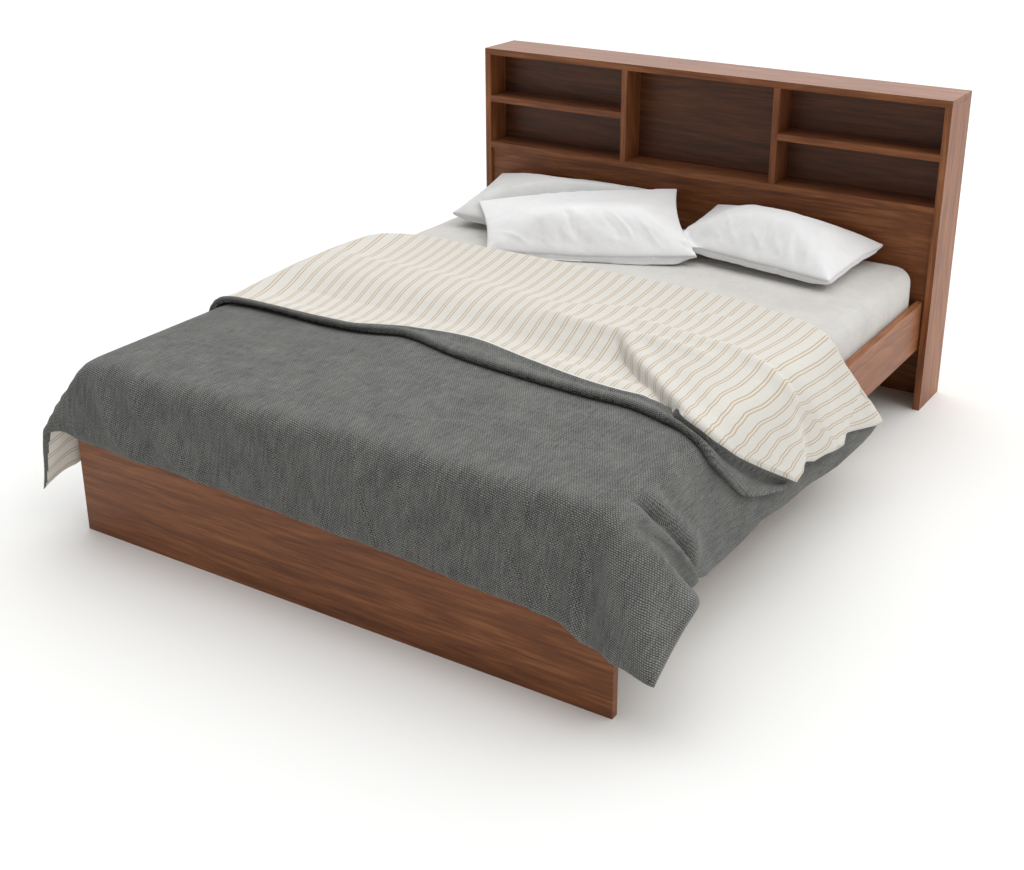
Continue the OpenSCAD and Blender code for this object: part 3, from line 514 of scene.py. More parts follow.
def sheet_wrinkle(co):
    """How far the sheet stands off: upright folds on its sides, pulls at its corners."""
    p = (Vector(co) - FOOT) * 1000
    side = smooth_step(HALF - 60, HALF - 5, abs(p.x))
    head = smooth_step(1300, 1700, p.y) * smooth_step(2035, 1960, p.y)
    drop = (BED_TOP - p.z) / 200
    pull = noise.noise(Vector((p.y / 26 + drop * 2.2, p.z / 190, p.x / 900)))
    fold = noise.noise(Vector((p.y / 60 - drop * 1.5, p.z / 260, 7 + p.x / 900)))
    top = noise.noise(Vector((p.x / 170 + p.y / 400, p.y / 150, 3)))
    fine = noise.noise(Vector((p.x / 60 + p.y / 90, p.y / 55, 9)))
    off = side * (1.2 * pull + 2.2 * fold) * (0.5 + 0.5 * head)
    off += (1 - side) * (0.9 * top + 0.35 * fine)
    return off / 1000


def make_sheet():
    """The sheet over the mattress, with a hem turned in below it."""
    bm = padded_block(0.0014, (40, 60, 8))
    bmesh.ops.triangulate(bm, faces=[f for f in bm.faces if len(f.verts) > 4])
    bm.normal_update()
    moves = [(v, v.normal * sheet_wrinkle(v.co)) for v in bm.verts]
    for vert, move in moves:
        vert.co += move
    low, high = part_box("fitted_sheet")

    def past_hem(face):
        middle = face.calc_center_median()
        return all(low[i] + SHEET_HEM < middle[i] < high[i] - SHEET_HEM for i in (0, 1))

    inside = [f for f in bm.faces if f.normal.z < -0.95 and past_hem(f)]
    bmesh.ops.delete(bm, geom=inside, context="FACES")
    for vert in bm.verts:
        vert.co.z = max(vert.co.z, low[2] + 0.0002)
    made = piece("fitted_sheet_cloth", bm, [sheet_cotton], "sheet", "fitted_sheet")
    shell = made.modifiers.new("thickness", "SOLIDIFY")
    shell.thickness = SHEET_T
    shell.offset = -1


def make_mattress():
    bm = padded_block(0.0045, (6, 8, 2))
    made = piece("mattress_pad", bm, [ticking], "ticking", "mattress")


# Pillows: rows and columns of their cloth, the flat cloth's size in metres, steps of the blowing up
PILLOW_ROWS, PILLOW_COLS = ((73, 115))
PILLOW_SIZE = (0.68, 0.44)
BLOW_STEPS = 30


def blown_pillow():
    """Two flat cloths joined round the rim, blown up by pressure.

    Gives, by side, row and column, where each point lay before (x, y) and where it ended (x, y, z).
    """
    rows, cols = PILLOW_ROWS, PILLOW_COLS
    bm, place, side = two_faced_grid(rows, cols)
    for vert in bm.verts:
        i, j = divmod(vert[place], cols)
        u, v = 2 * j / (cols - 1) - 1, 2 * i / (rows - 1) - 1
        swell = max(0.0, (1 - abs(u) ** 2.6) * (1 - abs(v) ** 2.6)) ** 0.5
        lift = 0.0015 + 0.03 * swell
        rough = noise.noise(Vector((u * 3.1, v * 2.3, 2 + vert[side] * 5))) * 0.004 * swell
        height = (lift if vert[side] else -lift) + rough
        vert.co = (u * PILLOW_SIZE[0] / 2, v * PILLOW_SIZE[1] / 2, height)
    order = [(vert[side], vert[place]) for vert in bm.verts]
    start = [vert.co.copy() for vert in bm.verts]
    mesh = bpy.data.meshes.new("pillow_blow")
    bm.to_mesh(mesh)
    bm.free()
    places = start
    body = bpy.data.objects.new("pillow_blow", mesh)
    scene.collection.objects.link(body)
    cloth = body.modifiers.new("cloth", "CLOTH")
    for setting, value in (
        ("quality", 6),
        ("mass", 0.12),
        ("tension_stiffness", 20),
        ("compression_stiffness", 12),
        ("shear_stiffness", 6),
        ("bending_stiffness", 0.08),
        ("use_pressure", True),
        ("uniform_pressure_force", 5),
    ):
        setattr(cloth.settings, setting, value)
    cloth.settings.effector_weights.gravity = 0
    cloth.point_cache.frame_start = 1
    cloth.point_cache.frame_end = BLOW_STEPS
    for step in range(1, BLOW_STEPS + 1):
        scene.frame_set(step)
    blown = body.evaluated_get(bpy.context.evaluated_depsgraph_get()).data
    places = [vert.co.copy() for vert in blown.vertices]
    bpy.data.objects.remove(body)
    scene.frame_set(1)
    shape = np.zeros((2, rows * cols, 5))
    for (which, where), first, co in zip(order, start, places):
        shape[which, where] = (first.x, first.y, co.x, co.y, co.z)
    return shape.reshape(2, rows, cols, 5)


# Facts of each pillow, in millimetres. Seam corners: front left, front right, back right and back
# left. The rise is the crown's height over the seam, and the belly is every pillow's depth below it.
# The back and left shares say how much lower the top stays towards those sides. The arch lifts the
# back seam's middle, the bow moves the front seam's middle forward, and the waist draws the left and
# right ends in. The lip is how far the underside swells out past the front seam. The pull is the
# share of the blown cloth's movement along the pillow's plane that is kept, and -1 in the flip
# mirrors the blown shape.
BELLY = 62
PILLOWS = {
    "back_left": dict(
        seam=[(-712, 1607, 537), (-45, 1665, 536), (-110, 2026, 598), (-779, 2022, 575)],
        rise=80, back=0.15, left=0, arch=12, bow=22, lip=15, waist=(4, 4), pull=0.1, flip=(1, -1),
    ),
    "right": dict(
        seam=[(75, 1695, 545), (656, 1628, 531), (684, 2017, 546), (95, 2026, 588)],
        rise=96, back=0.3, left=0.35, arch=31, bow=6, lip=15, waist=(4, 6), pull=0.1, flip=(-1, 1),
    ),
    "front": dict(
        seam=[(-436, 1402, 507), (203, 1650, 526), (-41, 1982, 633), (-635, 1652, 578)],
        rise=92, back=0.82, left=0.12, arch=14, bow=24, lip=30, waist=(12, 22), pull=0.04, flip=(1, 1),
    ),
}
front_seam = np.array(PILLOWS["front"]["seam"], dtype=float)
flat_seam = np.column_stack([front_seam[:, :2], np.ones(4)])
FRONT_PLANE = np.linalg.lstsq(flat_seam, front_seam[:, 2], rcond=None)[0]


def pressed_height(x, y):
    """How high a pillow may stand that the front one lies on. Past that one it may rise freely."""
    here = np.array([x, y])
    outside = -1e9
    for first, second in zip(front_seam, np.roll(front_seam, -1, axis=0)):
        along = (second - first)[:2]
        away = np.array([along[1], -along[0]]) / np.linalg.norm(along)
        outside = max(outside, float((here - first[:2]) @ away))
    plane = FRONT_PLANE[0] * x + FRONT_PLANE[1] * y + FRONT_PLANE[2]
    return plane - 12 + 1.2 * max(0.0, outside)


def soft_min(a, b, width):
    share = min(1.0, max(0.0, 0.5 + 0.5 * (b - a) / width))
    return b * (1 - share) + a * share - width * share * (1 - share)


def height_below(trees, x, y, reach):
    """Highest point of the given pieces near a place, in millimetres."""
    best = BED_TOP
    for tree in trees:
        for dx, dy in ((0, 0), (reach, 0), (-reach, 0), (0, reach), (0, -reach)):
            hit = tree.ray_cast(spot(x + dx, y + dy, 1500), Vector((0, 0, -1)))[0]
            if hit is not None:
                best = max(best, hit.z * 1000)
    return best


def crease_lift(u, v, seed):
    """Soft creases that run from the front seam up the pillow, in millimetres."""
    lines = noise.noise(Vector((u * 3.9 + v * 1.9, v * 1.2, seed)))
    broad = noise.noise(Vector((u * 2.2 + v, v * 1.7, seed + 3)))
    return 3 * smooth_step(0.4, -0.75, v) * math.exp(-((lines / 0.17) ** 2)) + 3 * broad


def inland_at(distance):
    """0 at a rim and 1 well inside it, for a distance from it as a share of half the pillow."""
    return smooth_step(0.02, 0.22, distance)


def make_pillow(name, shape, under, cover, seed):
    """Bends the blown shape to the pillow's seam corners and sets it on what lies below it."""
    facts = PILLOWS[name]
    rows, cols = PILLOW_ROWS, PILLOW_COLS
    flat = shape[..., :2] + (shape[..., 2:4] - shape[..., :2]) * facts["pull"]
    corner_x, corner_y = abs(flat[:, (0, 0, -1, -1), (0, -1, 0, -1)]).mean(axis=(0, 1))
    top = shape[1, :, :, 4].max()
    bottom = -shape[0, :, :, 4].min()
    corners = [np.array(c, dtype=float) for c in facts["seam"]]
    right = corners[1] - corners[0] + corners[2] - corners[3]
    back = corners[3] - corners[0] + corners[2] - corners[1]
    out = np.cross(right, back)
    out /= np.linalg.norm(out)
    right /= np.linalg.norm(right)
    back /= np.linalg.norm(back)
    bm, place, side = two_faced_grid(rows, cols)
    lows = {}
    for vert in bm.verts:
        row, col = divmod(vert[place], cols)
        i = rows - 1 - row if facts["flip"][1] < 0 else row
        j = cols - 1 - col if facts["flip"][0] < 0 else col
        x, y = flat[vert[side], i, j]
        z = shape[vert[side], i, j, 4]
        u = x / corner_x * facts["flip"][0]
        v = y / corner_y * facts["flip"][1]
        low_edge = corners[0] * (1 - u) / 2 + corners[1] * (1 + u) / 2
        high_edge = corners[3] * (1 - u) / 2 + corners[2] * (1 + u) / 2
        seam = low_edge * (1 - v) / 2 + high_edge * (1 + v) / 2
        seam[2] += facts["arch"] * max(0.0, 1 - u * u) * (1 + v) / 2
        seam = seam - back * facts["bow"] * max(0.0, 1 - u * u) * (1 - v) / 2
        waist = facts["waist"][int(u > 0)] * smooth_step(0.3, 1, abs(u)) * max(0.0, 1 - v * v)
        seam = seam - right * math.copysign(waist, u)
        if z >= 0:
            rise = z / top * facts["rise"] * (1 - facts["back"] * smooth_step(-0.5, 0.9, v))
            rise *= 1 - facts["left"] * smooth_step(-0.3, -0.95, u)
        else:
            rise = -math.sqrt(z / -bottom) * BELLY
        from_x = 1 - abs(2 * col / (cols - 1) - 1)
        from_y = 1 - abs(2 * row / (rows - 1) - 1)
        inland = smooth_step(0, 0.3, min(from_x, from_y))
        rise += crease_lift(u, v, seed + 7 * vert[side]) * inland
        past_x, past_y = (1.5, 1.5) if vert[side] else (11, facts["lip"] if v < 0 else 6)
        end_x = past_x * bell(from_x, 0.06, 0.05) * smooth_step(0, 0.04, from_x)
        end_x *= inland_at(from_y)
        end_y = past_y * bell(from_y, 0.09, 0.07) * smooth_step(0, 0.05, from_y)
        end_y *= inland_at(from_x)
        co = seam + out * rise + right * math.copysign(end_x, u) + back * math.copysign(end_y, v)
        if vert[side] == 0:
            co[2] = max(co[2], height_below(under, co[0], co[1], 8) + 1.2)
            lows[vert[place]] = co[2]
        elif name != "front":
            co[2] = soft_min(co[2], pressed_height(co[0], co[1]), 18)
        vert.co = co
    full = facts["rise"] + BELLY
    for vert in bm.verts:
        if vert[side] == 1:
            i, j = divmod(vert[place], cols)
            u, v = 2 * j / (cols - 1) - 1, 2 * i / (rows - 1) - 1
            swell = max(0.0, (1 - abs(u) ** 3) * (1 - abs(v) ** 3)) ** 0.5
            swell *= 1 - facts["back"] * smooth_step(-0.5, 0.9, v)
            vert.co.z = max(vert.co.z, lows[vert[place]] + 2.5 + 0.3 * full * swell)
    for vert in bm.verts:
        vert.co = spot(*vert.co)
    bmesh.ops.recalc_face_normals(bm, faces=bm.faces[:])
    for face in bm.faces:
        face.material_index = 1 if len({vert[side] for vert in face.verts}) == 2 else 0
    tree = BVHTree.FromBMesh(bm)
    node = "pillow_" + name
    made = piece(node + "_cover", bm, [cover, piping_cotton], "pillow_cotton", node)
    return tree


# Duvet, in millimetres: thickness of the lower layer and of the turned-back one, the gap between
# them, and how high over the drape the turned-back one rests
DUVET_T = 16.0
BACK_T = 13.0
LAYER_GAP = 0.6
REST_Z = DUVET_T + LAYER_GAP
# Least share of its thickness that the turned-back layer has at the side hems
THIN_RIM = 0.16
# Width of the white edge along the turned-back hem, and where it ends at the flap
TAPE = 5.0
TAPE_END = 665
# Where the cloth turns down at the sides and at the foot, and how high it lies there
EDGE = HALF + 6
FOOT_LINE = 22.0
DROP_Z = BED_TOP + 0.6
# How far hanging cloth moves out and down for each millimetre of its length
SLOPE = 0.2
FALL = 0.98
# Length of the left overhang, of the right one before its own lines change it, and of the foot end
LEFT_HANG = 320
RIGHT_HANG = 292
FOOT_HANG = 300
# How far the side rail's outer face stands out past the place where the cloth turns down
RAIL_GAP = 20.0

# Ways in which the cloth runs down round the two foot corners, as (turn in degrees, direction):
# out, along the bed and up, for each millimetre of its length. A turn of 0 points to the foot.
# The right corner's turns between 80 and 130 degrees make a crease that deepens towards the hem.
LAST_TURN = 139
CORNER_FOLDS = {
    1: [
        (0, (0, -SLOPE, -FALL)),
        (22, (0.17, -0.26, -0.93)),
        (44, (0.345, -0.165, -0.806)),
        (69, (0.49, 0.45, -0.745)),
        (82, (0.29, 0.64, -0.90)),
        (95, (0.15, 0.76, -0.97)),
        (112, (0.20, 0.76, -0.86)),
        (LAST_TURN, (0.131, 0.755, -0.643)),
    ],
    -1: [
        (0, (0, -SLOPE, -FALL)),
        (15, (0.24, -0.22, -0.86)),
        (26, (0.39, -0.31, -0.84)),
        (42, (0.42, -0.27, -0.93)),
        (56, (0.32, -0.229, -0.98)),
        (90, (0.2, 0, -0.98)),
        (LAST_TURN, (0.131, 0.755, -0.643)),
    ],
}
# Folds of the hanging foot end, as (across, width, how far it stands out at its full length).
FOOT_FOLDS = [(-600, 60, 10), (-430, 50, 8), (120, 110, 7), (712, 26, -9), (750, 24, 15)]


def sharp_drape(a, y):
    """Where the cloth lies over the bed's edges, before its edges are rounded."""
    side = np.where(a < 0, -1.0, 1.0)
    u = np.abs(a) - EDGE
    v = FOOT_LINE - y
    turn = np.degrees(np.arctan2(u, v))
    reach = np.hypot(u, v)
    fold = sum(depth * bell(a, middle, width) for middle, width, depth in FOOT_FOLDS)
    top = np.stack([a, y, np.full_like(a, DROP_Z)], -1)
    foot = np.stack([a, FOOT_LINE - SLOPE * v - fold * v / FOOT_HANG, DROP_Z - FALL * v], -1)
    sway = 9 * np.sin(np.radians(y * 0.62)) * smooth_step(247, 425, y) * u / RIGHT_HANG
    flare = 28 * smooth_step(1220, 1507, y) * (np.maximum(u, 0) / RIGHT_HANG) ** 2
    hang = np.stack([side * (EDGE + SLOPE * u + sway + flare), y, DROP_Z - FALL * u], -1)
    cone = np.zeros(a.shape + (3,))
    for which in (-1, 1):
        creased = CORNER_FOLDS[which]
        smooth = [way for way in creased if which == -1 or not 80 < way[0] < 130]
        for axis in range(3):
            way = line_at([(t, d[axis]) for t, d in smooth], turn)
            crease = line_at([(t, d[axis]) for t, d in creased], turn) - way
            way = way + crease * smooth_step(165, 285, reach)
            value = (EDGE, FOOT_LINE, DROP_Z)[axis] + reach * way
            value = value * side if axis == 0 else value
            cone[..., axis] = np.where(side == which, value, cone[..., axis])
    flat = ((u <= 0) & (v <= 0))[..., None]
    front = ((u <= 0) & (v > 0))[..., None]
    sides = ((u > 0) & (turn > LAST_TURN))[..., None]
    return np.where(flat, top, np.where(front, foot, np.where(sides, hang, cone)))


def blurred(field, sigma):
    """Gaussian mean of a field over its rows and columns, with sigma in steps of the field."""
    reach = int(sigma * 3) + 1
    weights = np.exp(-0.5 * (np.arange(-reach, reach + 1) / sigma) ** 2)
    weights /= weights.sum()
    padding = [(reach, reach), (reach, reach), (0, 0)]
    field = np.pad(field, padding, mode="reflect", reflect_type="odd")
    for axis in (0, 1):
        field = np.apply_along_axis(
            lambda line: np.convolve(line, weights, mode="valid"), axis, field
        )
    return field


# The drape, on a grid over the cloth: its edges are rounded by the blur, less so where it hangs.
FIELD_STEP = 10.0
FIELD_A = np.arange(-1260, 1321, FIELD_STEP)
FIELD_Y = np.arange(-400, 1701, FIELD_STEP)
field_y, field_a = np.meshgrid(FIELD_Y, FIELD_A, indexing="ij")
sharp_field = sharp_drape(field_a, field_y)
below_edge = np.maximum(np.abs(field_a) - EDGE, FOOT_LINE - field_y)
crisp = smooth_step(40, 130, below_edge)[..., None]
drape_field = blurred(sharp_field, 2.8) * (1 - crisp) + blurred(sharp_field, 1.5) * crisp
along_y = np.gradient(drape_field, FIELD_STEP, axis=0)
along_a = np.gradient(drape_field, FIELD_STEP, axis=1)
normal_field = np.cross(along_a, along_y)
normal_field /= np.linalg.norm(normal_field, axis=-1, keepdims=True)
normal_field = blurred(normal_field, 1.2)
normal_field /= np.linalg.norm(normal_field, axis=-1, keepdims=True)
along_y /= np.linalg.norm(along_y, axis=-1, keepdims=True)


def read_field(field, a, y):
    """Value of a field between its grid points."""
    x = np.clip((a - FIELD_A[0]) / FIELD_STEP, 0, len(FIELD_A) - 1.001)
    r = np.clip((y - FIELD_Y[0]) / FIELD_STEP, 0, len(FIELD_Y) - 1.001)
    i, j = r.astype(int), x.astype(int)
    fi, fj = (r - i)[..., None], (x - j)[..., None]
    return (
        field[i, j] * (1 - fi) * (1 - fj)
        + field[i, j + 1] * (1 - fi) * fj
        + field[i + 1, j] * fi * (1 - fj)
        + field[i + 1, j + 1] * fi * fj
    )


# Lines across the bed, as (across, along). Beyond the bed's edge they run down its sides. They are
# the fold at the head end, the turned-back hem, the line where its roll rests on the grey layer,
# and the edge of the pleat.
FOLD_POINTS = [
    (-1126, 1330), (-870, 1236), (-806, 1242), (-760, 1305), (-720, 1342), (-670, 1362), (-500, 1371),
    (0, 1370), (330, 1362), (480, 1345), (600, 1318), (680, 1292), (740, 1264), (786, 1240),
    (814, 1232), (874, 1260), (950, 1324), (1014, 1374), (1058, 1404), (1118, 1444), (1170, 1476),
]
HEM_POINTS = [
    (-1126, 590), (-806, 566), (-700, 573), (-400, 575), (-320, 583), (-250, 618), (-190, 650),
    (-100, 674), (0, 680), (60, 672), (120, 656), (220, 628), (320, 604), (420, 584), (520, 574),
    (600, 572), (655, 554), (700, 522), (738, 492), (768, 470), (790, 460), (808, 464), (836, 504),
    (880, 570), (932, 647), (985, 730), (1059, 850), (1170, 1010),
]
CONTACT_POINTS = [
    (-1126, 566), (-806, 543), (-700, 556), (-400, 553), (-320, 559), (-250, 578), (-190, 602),
    (-130, 598), (-60, 578), (20, 556), (120, 540), (300, 520), (450, 508), (600, 502), (650, 488),
    (700, 470), (754, 450), (786, 432), (815, 428), (854, 446), (900, 488), (946, 535), (1002, 606),
    (1030, 690), (1059, 796), (1170, 960),
]
PLEAT_POINTS = [
    (300, 892), (322, 880), (354, 860), (408, 798), (455, 746), (510, 692), (556, 652), (602, 612),
    (646, 572), (690, 536), (726, 504), (752, 474), (772, 452), (806, 440), (900, 400),
]
# Length of the foot end's overhang, as (across, length).
FOOT_OVERHANG = [
    (-1126, 206), (-806, 206), (-350, 209), (-254, 217), (-54, 226), (162, 229), (340, 240),
    (510, 252), (630, 255), (714, 264), (750, 272), (776, 291), (806, 297), (900, 297), (1090, 302),
]
# Length of the right overhang, as (along, length), for the grey layer and the turned-back one.
GREY_OVERHANG = [
    (200, 290), (368, 305), (480, 311), (572, 303), (672, 289), (752, 298), (876, 319), (1004, 334),
    (1112, 346), (1188, 348), (1272, 340), (1380, 326), (1450, 314), (1520, 314),
]
STRIPED_OVERHANG = [
    (400, 292), (700, 254), (850, 252), (896, 249), (924, 233), (948, 240), (992, 256), (1060, 261),
    (1124, 272), (1180, 279), (1206, 255), (1228, 264), (1308, 281), (1412, 306), (1450, 314),
    (1520, 314),
]
# The hollow that curves down the right side behind the foot corner.
CORNER_HOLLOW = [
    (806, 116), (838, 142), (866, 164), (906, 196), (950, 229), (990, 256), (1030, 268), (1066, 250),
    (1110, 226),
]
# Diagonal folds on the left of the foot end.
FOOT_RIDGES = [
    [(-650, 10), (-558, -55), (-510, -92), (-442, -134), (-398, -162), (-354, -188), (-270, -240)],
    [(-760, -20), (-700, -72), (-666, -112), (-618, -146), (-562, -176), (-480, -215)],
]
# Small ridges, as (line, height left and right, width towards the foot and the head).
RIDGES = [
    ([(-780, 1022), (-300, 1012), (-60, 1004), (30, 984), (80, 972), (125, 990), (165, 1022),
      (205, 1048), (280, 1092), (359, 1127), (437, 1152), (513, 1170), (580, 1196)], (7, 9), (64, 34)),
    ([(310, 992), (376, 978), (450, 964), (530, 944), (611, 927), (665, 918), (700, 898),
      (725, 884), (770, 852), (800, 834), (830, 850), (864, 882), (900, 910)], (9, 9), (38, 16)),
    ([(70, 894), (161, 881), (230, 871), (307, 868), (385, 858), (456, 861), (540, 849),
      (625, 828), (690, 808)], (8, 8), (34, 16)),
]
# Height of the turned-back layer over its resting place, as (along, height): on the left, in the
# middle, and on the flap behind the pleat.
LEFT_WAVE = [
    (400, -5), (700, -5), (741, -3), (783, 3), (835, 14), (885, 22), (940, 22), (1000, 17),
    (1050, 13), (1090, 7), (1130, 4), (1200, 1), (1300, 0), (1370, 1), (1520, 1),
]
MIDDLE_WAVE = [
    (400, -5), (690, -5), (720, -3), (749, 2), (800, 17), (850, 30), (890, 33), (940, 27),
    (1000, 19), (1064, 12), (1120, 6), (1200, 1), (1300, 0), (1370, 1), (1520, 1),
]
FLAP_WAVE = [
    (380, 24), (600, 26), (700, 28), (800, 31), (860, 33), (900, 32), (980, 22), (1080, 10),
    (1200, 3), (1300, 1), (1520, 1),
]
# How high the cloth stands at the bed's left edge, as (along, height).
LEFT_EDGE_WAVE = [
    (400, 2), (560, 4), (700, 13), (800, 19), (900, 23), (1240, 22), (1330, 14), (1520, 8),
]
# Fold of the turned-back layer down the right side: where it starts to rise, where it stands full,
# and where the cloth falls off towards its tip.
RIGHT_FOLD = [(760, 800), (795, 819), (864, 882), (931, 933), (979, 948), (1060, 958), (1170, 965)]
RIGHT_FOLD_END = [(760, 845), (839, 940), (916, 1010), (991, 1070), (1060, 1095), (1170, 1100)]
TIP_FOLD = [(960, 1360), (1000, 1324), (1037, 1254), (1072, 1212), (1170, 1190)]
# How far the stripes slant, as (across, millimetres aside for each one along).
STRIPE_SLANT = [(-806, 0.25), (-500, 0.23), (0, 0.175), (500, 0.09), (806, 0.03)]
# Distance across the pleat's slanting line for each millimetre along the bed.
PLEAT_SLANT = 0.72


def ridge(a, y, points, heights, widths):
    """A line that rises slowly from the foot side and falls off steeply behind."""
    off = y - line_at(points, a)
    ends = smooth_step(points[0][0], points[0][0] + 90, a)
    ends = ends * (1 - smooth_step(points[-1][0] - 90, points[-1][0], a))
    sharp = smooth_step(-40, 180, a)
    height = heights[0] + (heights[1] - heights[0]) * sharp
    behind = widths[1] + (15 - widths[1]) * sharp
    return height * ends * np.where(off < 0, bell(off, 0, widths[0]), bell(off, 0, behind))


def pleat_offset(a, y):
    """Distance behind the pleat's edge, across its line."""
    return (y - line_at(PLEAT_POINTS, a)) * PLEAT_SLANT


def flap_share(a, y):
    """1 on the raised flap behind the pleat's edge, 0 before it."""
    return smooth_step(-9, 7, pleat_offset(a, y)) * smooth_step(300, 350, a)


def back_relief(a, y):
    """Height of the turned-back layer over its resting place."""
    middle = smooth_step(-40, 190, a)
    low = along_points(LEFT_WAVE, y) * (1 - middle) + along_points(MIDDLE_WAVE, y) * middle
    off = pleat_offset(a, y)
    over = flap_share(a, y)
    flap = along_points(FLAP_WAVE, y) - 3 * bell(off, 60, 22) + 2 * bell(off, 18, 14)
    valley = 8 * bell(off, -30, 30) * smooth_step(350, 430, a) * (1 - smooth_step(660, 710, a))
    height = np.maximum(low - valley, -6) * (1 - over) + flap * over
    puff = bell(a, -826, 105)
    height = height + puff * np.maximum(along_points(LEFT_EDGE_WAVE, y) - height, 0)
    for points, heights, widths in RIDGES:
        height = height + ridge(a, y, points, heights, widths)
    hang = smooth_step(0, 130, np.abs(a) - EDGE)
    height = height * (1 - 0.45 * hang * smooth_step(0, 1, a))
    grown = smooth_step(770, 960, a)
    start, end = line_at(RIGHT_FOLD, a), line_at(RIGHT_FOLD_END, a)
    step = smooth_step(0, 1, (y - start) / (end - start))
    step = step * (1 - smooth_step(end + 20, end + 240, y))
    height = height + grown * (17 * step - 6 * bell(y, start - 12, 26))
    tip = y - line_at(TIP_FOLD, a)
    fall = 12 * smooth_step(-9, 9, tip) * (1 - smooth_step(20, 150, tip))
    height = height - smooth_step(960, 1040, a) * fall
    on_top = smooth_step(0, 90, EDGE - np.abs(a))
    height = height + on_top * 0.8 * (1 + cloth_noise(a, y, 190, 110, 5))
    height = height + on_top * 0.6 * cloth_noise(a, y, 60, 50, 6)
    return height + hang * (2 + 3.2 * cloth_noise(y, a, 60, 210, 8))


def corner_relief(a, y):
    """The hollow that curves down the right side behind the foot corner, between two soft ridges.

    Beside the rail it is only as deep as the cloth hangs clear of it.
    """
    off = (y - line_at(CORNER_HOLLOW, a)) * 0.75
    beside_rail = smooth_step(870, 940, a)
    crest = (14 + 10 * beside_rail) * np.where(off < -24, bell(off, -24, 60), bell(off, -24, 14))
    clear = SLOPE * (a - EDGE) - RAIL_GAP - 1.5
    depth = 16 * (1 - beside_rail) + np.clip(clear, 0, 22) * beside_rail
    behind = (9 + 8 * beside_rail) * bell(off, 34, 18 + 10 * beside_rail)
    behind = behind * (1 - smooth_step(1000, 1080, a))
    return smooth_step(790, 860, a) * (crest - depth * bell(off, 2, 17) + behind)


# Rows and columns of the duvet
def strips(count):
    return int(count / (1.0))


# Columns: shares of the left overhang, places on the bed and shares of the right overhang
LEFT_SHARES = np.linspace(-1, 0, strips(17), endpoint=False)
RIGHT_SHARES = np.linspace(0, 1, strips(33) + 1)[1:]
ON_BED = np.concatenate(
    [np.linspace(-EDGE, 0, strips(58), endpoint=False), np.linspace(0, EDGE, strips(98) + 1)]
)


def places_across(right_hang):
    """Places of all columns across the bed, for a length of the right overhang."""
    return np.concatenate([-EDGE + LEFT_SHARES * LEFT_HANG, ON_BED, EDGE + RIGHT_SHARES * right_hang])


BASE_A = places_across(RIGHT_HANG)
COLS = len(BASE_A)


def columns(y, overhang):
    """Places across the cloth for a row at y, with the right overhang that it has there."""
    return places_across(line_at(overhang, np.broadcast_to(y, COLS)[-len(RIGHT_SHARES):]))


def settled(points, overhang):
    """A line across the cloth, read at the places that its own columns have."""
    y = along_points(points, BASE_A)
    for _ in range(4):
        y = along_points(points, columns(y, overhang))
    return y


def to_rim(a):
    """Distance from the side hems."""
    return (1 - np.abs(a) / np.abs(a[[0, -1]][(a > 0).astype(int)])) * (EDGE + LEFT_HANG)


def round_edge(distance, width):
    """Share of the full thickness near an edge that is rounded over a width."""
    return np.sqrt(1 - (1 - np.clip(distance / width, 0, 1)) ** 2)


FOLD = settled(FOLD_POINTS, STRIPED_OVERHANG)
HEM = settled(HEM_POINTS, STRIPED_OVERHANG)
CONTACT = np.minimum(settled(CONTACT_POINTS, STRIPED_OVERHANG), HEM - 8)


def grey_wave(a, y):
    """How far the grey layer stands off its smooth drape: folds, creases and the right corner."""
    bare = 1 - smooth_step(CONTACT - 12, CONTACT + 4, y)
    on_top = smooth_step(0, 160, EDGE - np.abs(a)) * smooth_step(0, 160, y - FOOT_LINE) * bare
    hang = np.maximum(smooth_step(0, 120, np.abs(a) - EDGE), smooth_step(0, 120, FOOT_LINE - y))
    foot_hang = smooth_step(-60, 120, FOOT_LINE - y) * smooth_step(0, 60, EDGE - np.abs(a))
    slanted = a + 0.55 * y
    wave = on_top * (2.0 * cloth_noise(a, y, 260, 210, 1) + cloth_noise(a, y, 90, 110, 2))
    wave = wave + hang * (1.2 + smooth_step(0, 1, a)) * cloth_noise(a + y * 0.3, y, 46, 150, 3)
    wave = wave + foot_hang * (
        4.2 * fine_creases(slanted, y, 120, 420, 4) + 2.6 * fine_creases(slanted, y, 60, 260, 14)
    )
    wave = wave + bare * on_top * (
        1.8 * fine_creases(a, y, 260, 70, 12) + 1.3 * fine_creases(a, y, 120, 46, 13)
    )
    for points in FOOT_RIDGES:
        wave = wave + ridge(a, y, points, (15, 15), (22, 48))
    return np.maximum(wave, -0.3) + corner_relief(a, y)


# A row of the duvet is its middle places, its thickness, its places across and along the cloth and
# its kind. The rows run from the foot hem up to the fold and back to the end of the roll.
def grey_rows():
    """Lower layer, grey side up, from the foot hem to the fold."""
    drop = line_at(FOOT_OVERHANG, BASE_A)
    near_roll = np.minimum(HEM, CONTACT + 60) - 10
    along = [FOOT_LINE - drop * s for s in np.linspace(1, 0, strips(31) + 1)[:-1]]
    seen = np.linspace(0, 1, strips(66) + 1)[:-1]
    along += [FOOT_LINE + (near_roll - FOOT_LINE) * s for s in seen]
    hidden = np.linspace(0, 1, strips(12) + 1)
    along += [near_roll + (FOLD - near_roll) * s for s in hidden]
    for y in along:
        a = columns(y, GREY_OVERHANG)
        base = read_field(drape_field, a, y)
        up = read_field(normal_field, a, y)
        edge = np.minimum(y - along[0], to_rim(a))
        t = np.maximum(DUVET_T * round_edge(edge, 24.0), 2.5)
        yield base + up * (DUVET_T / 2 + grey_wave(a, y))[:, None], t, a, y, "grey"


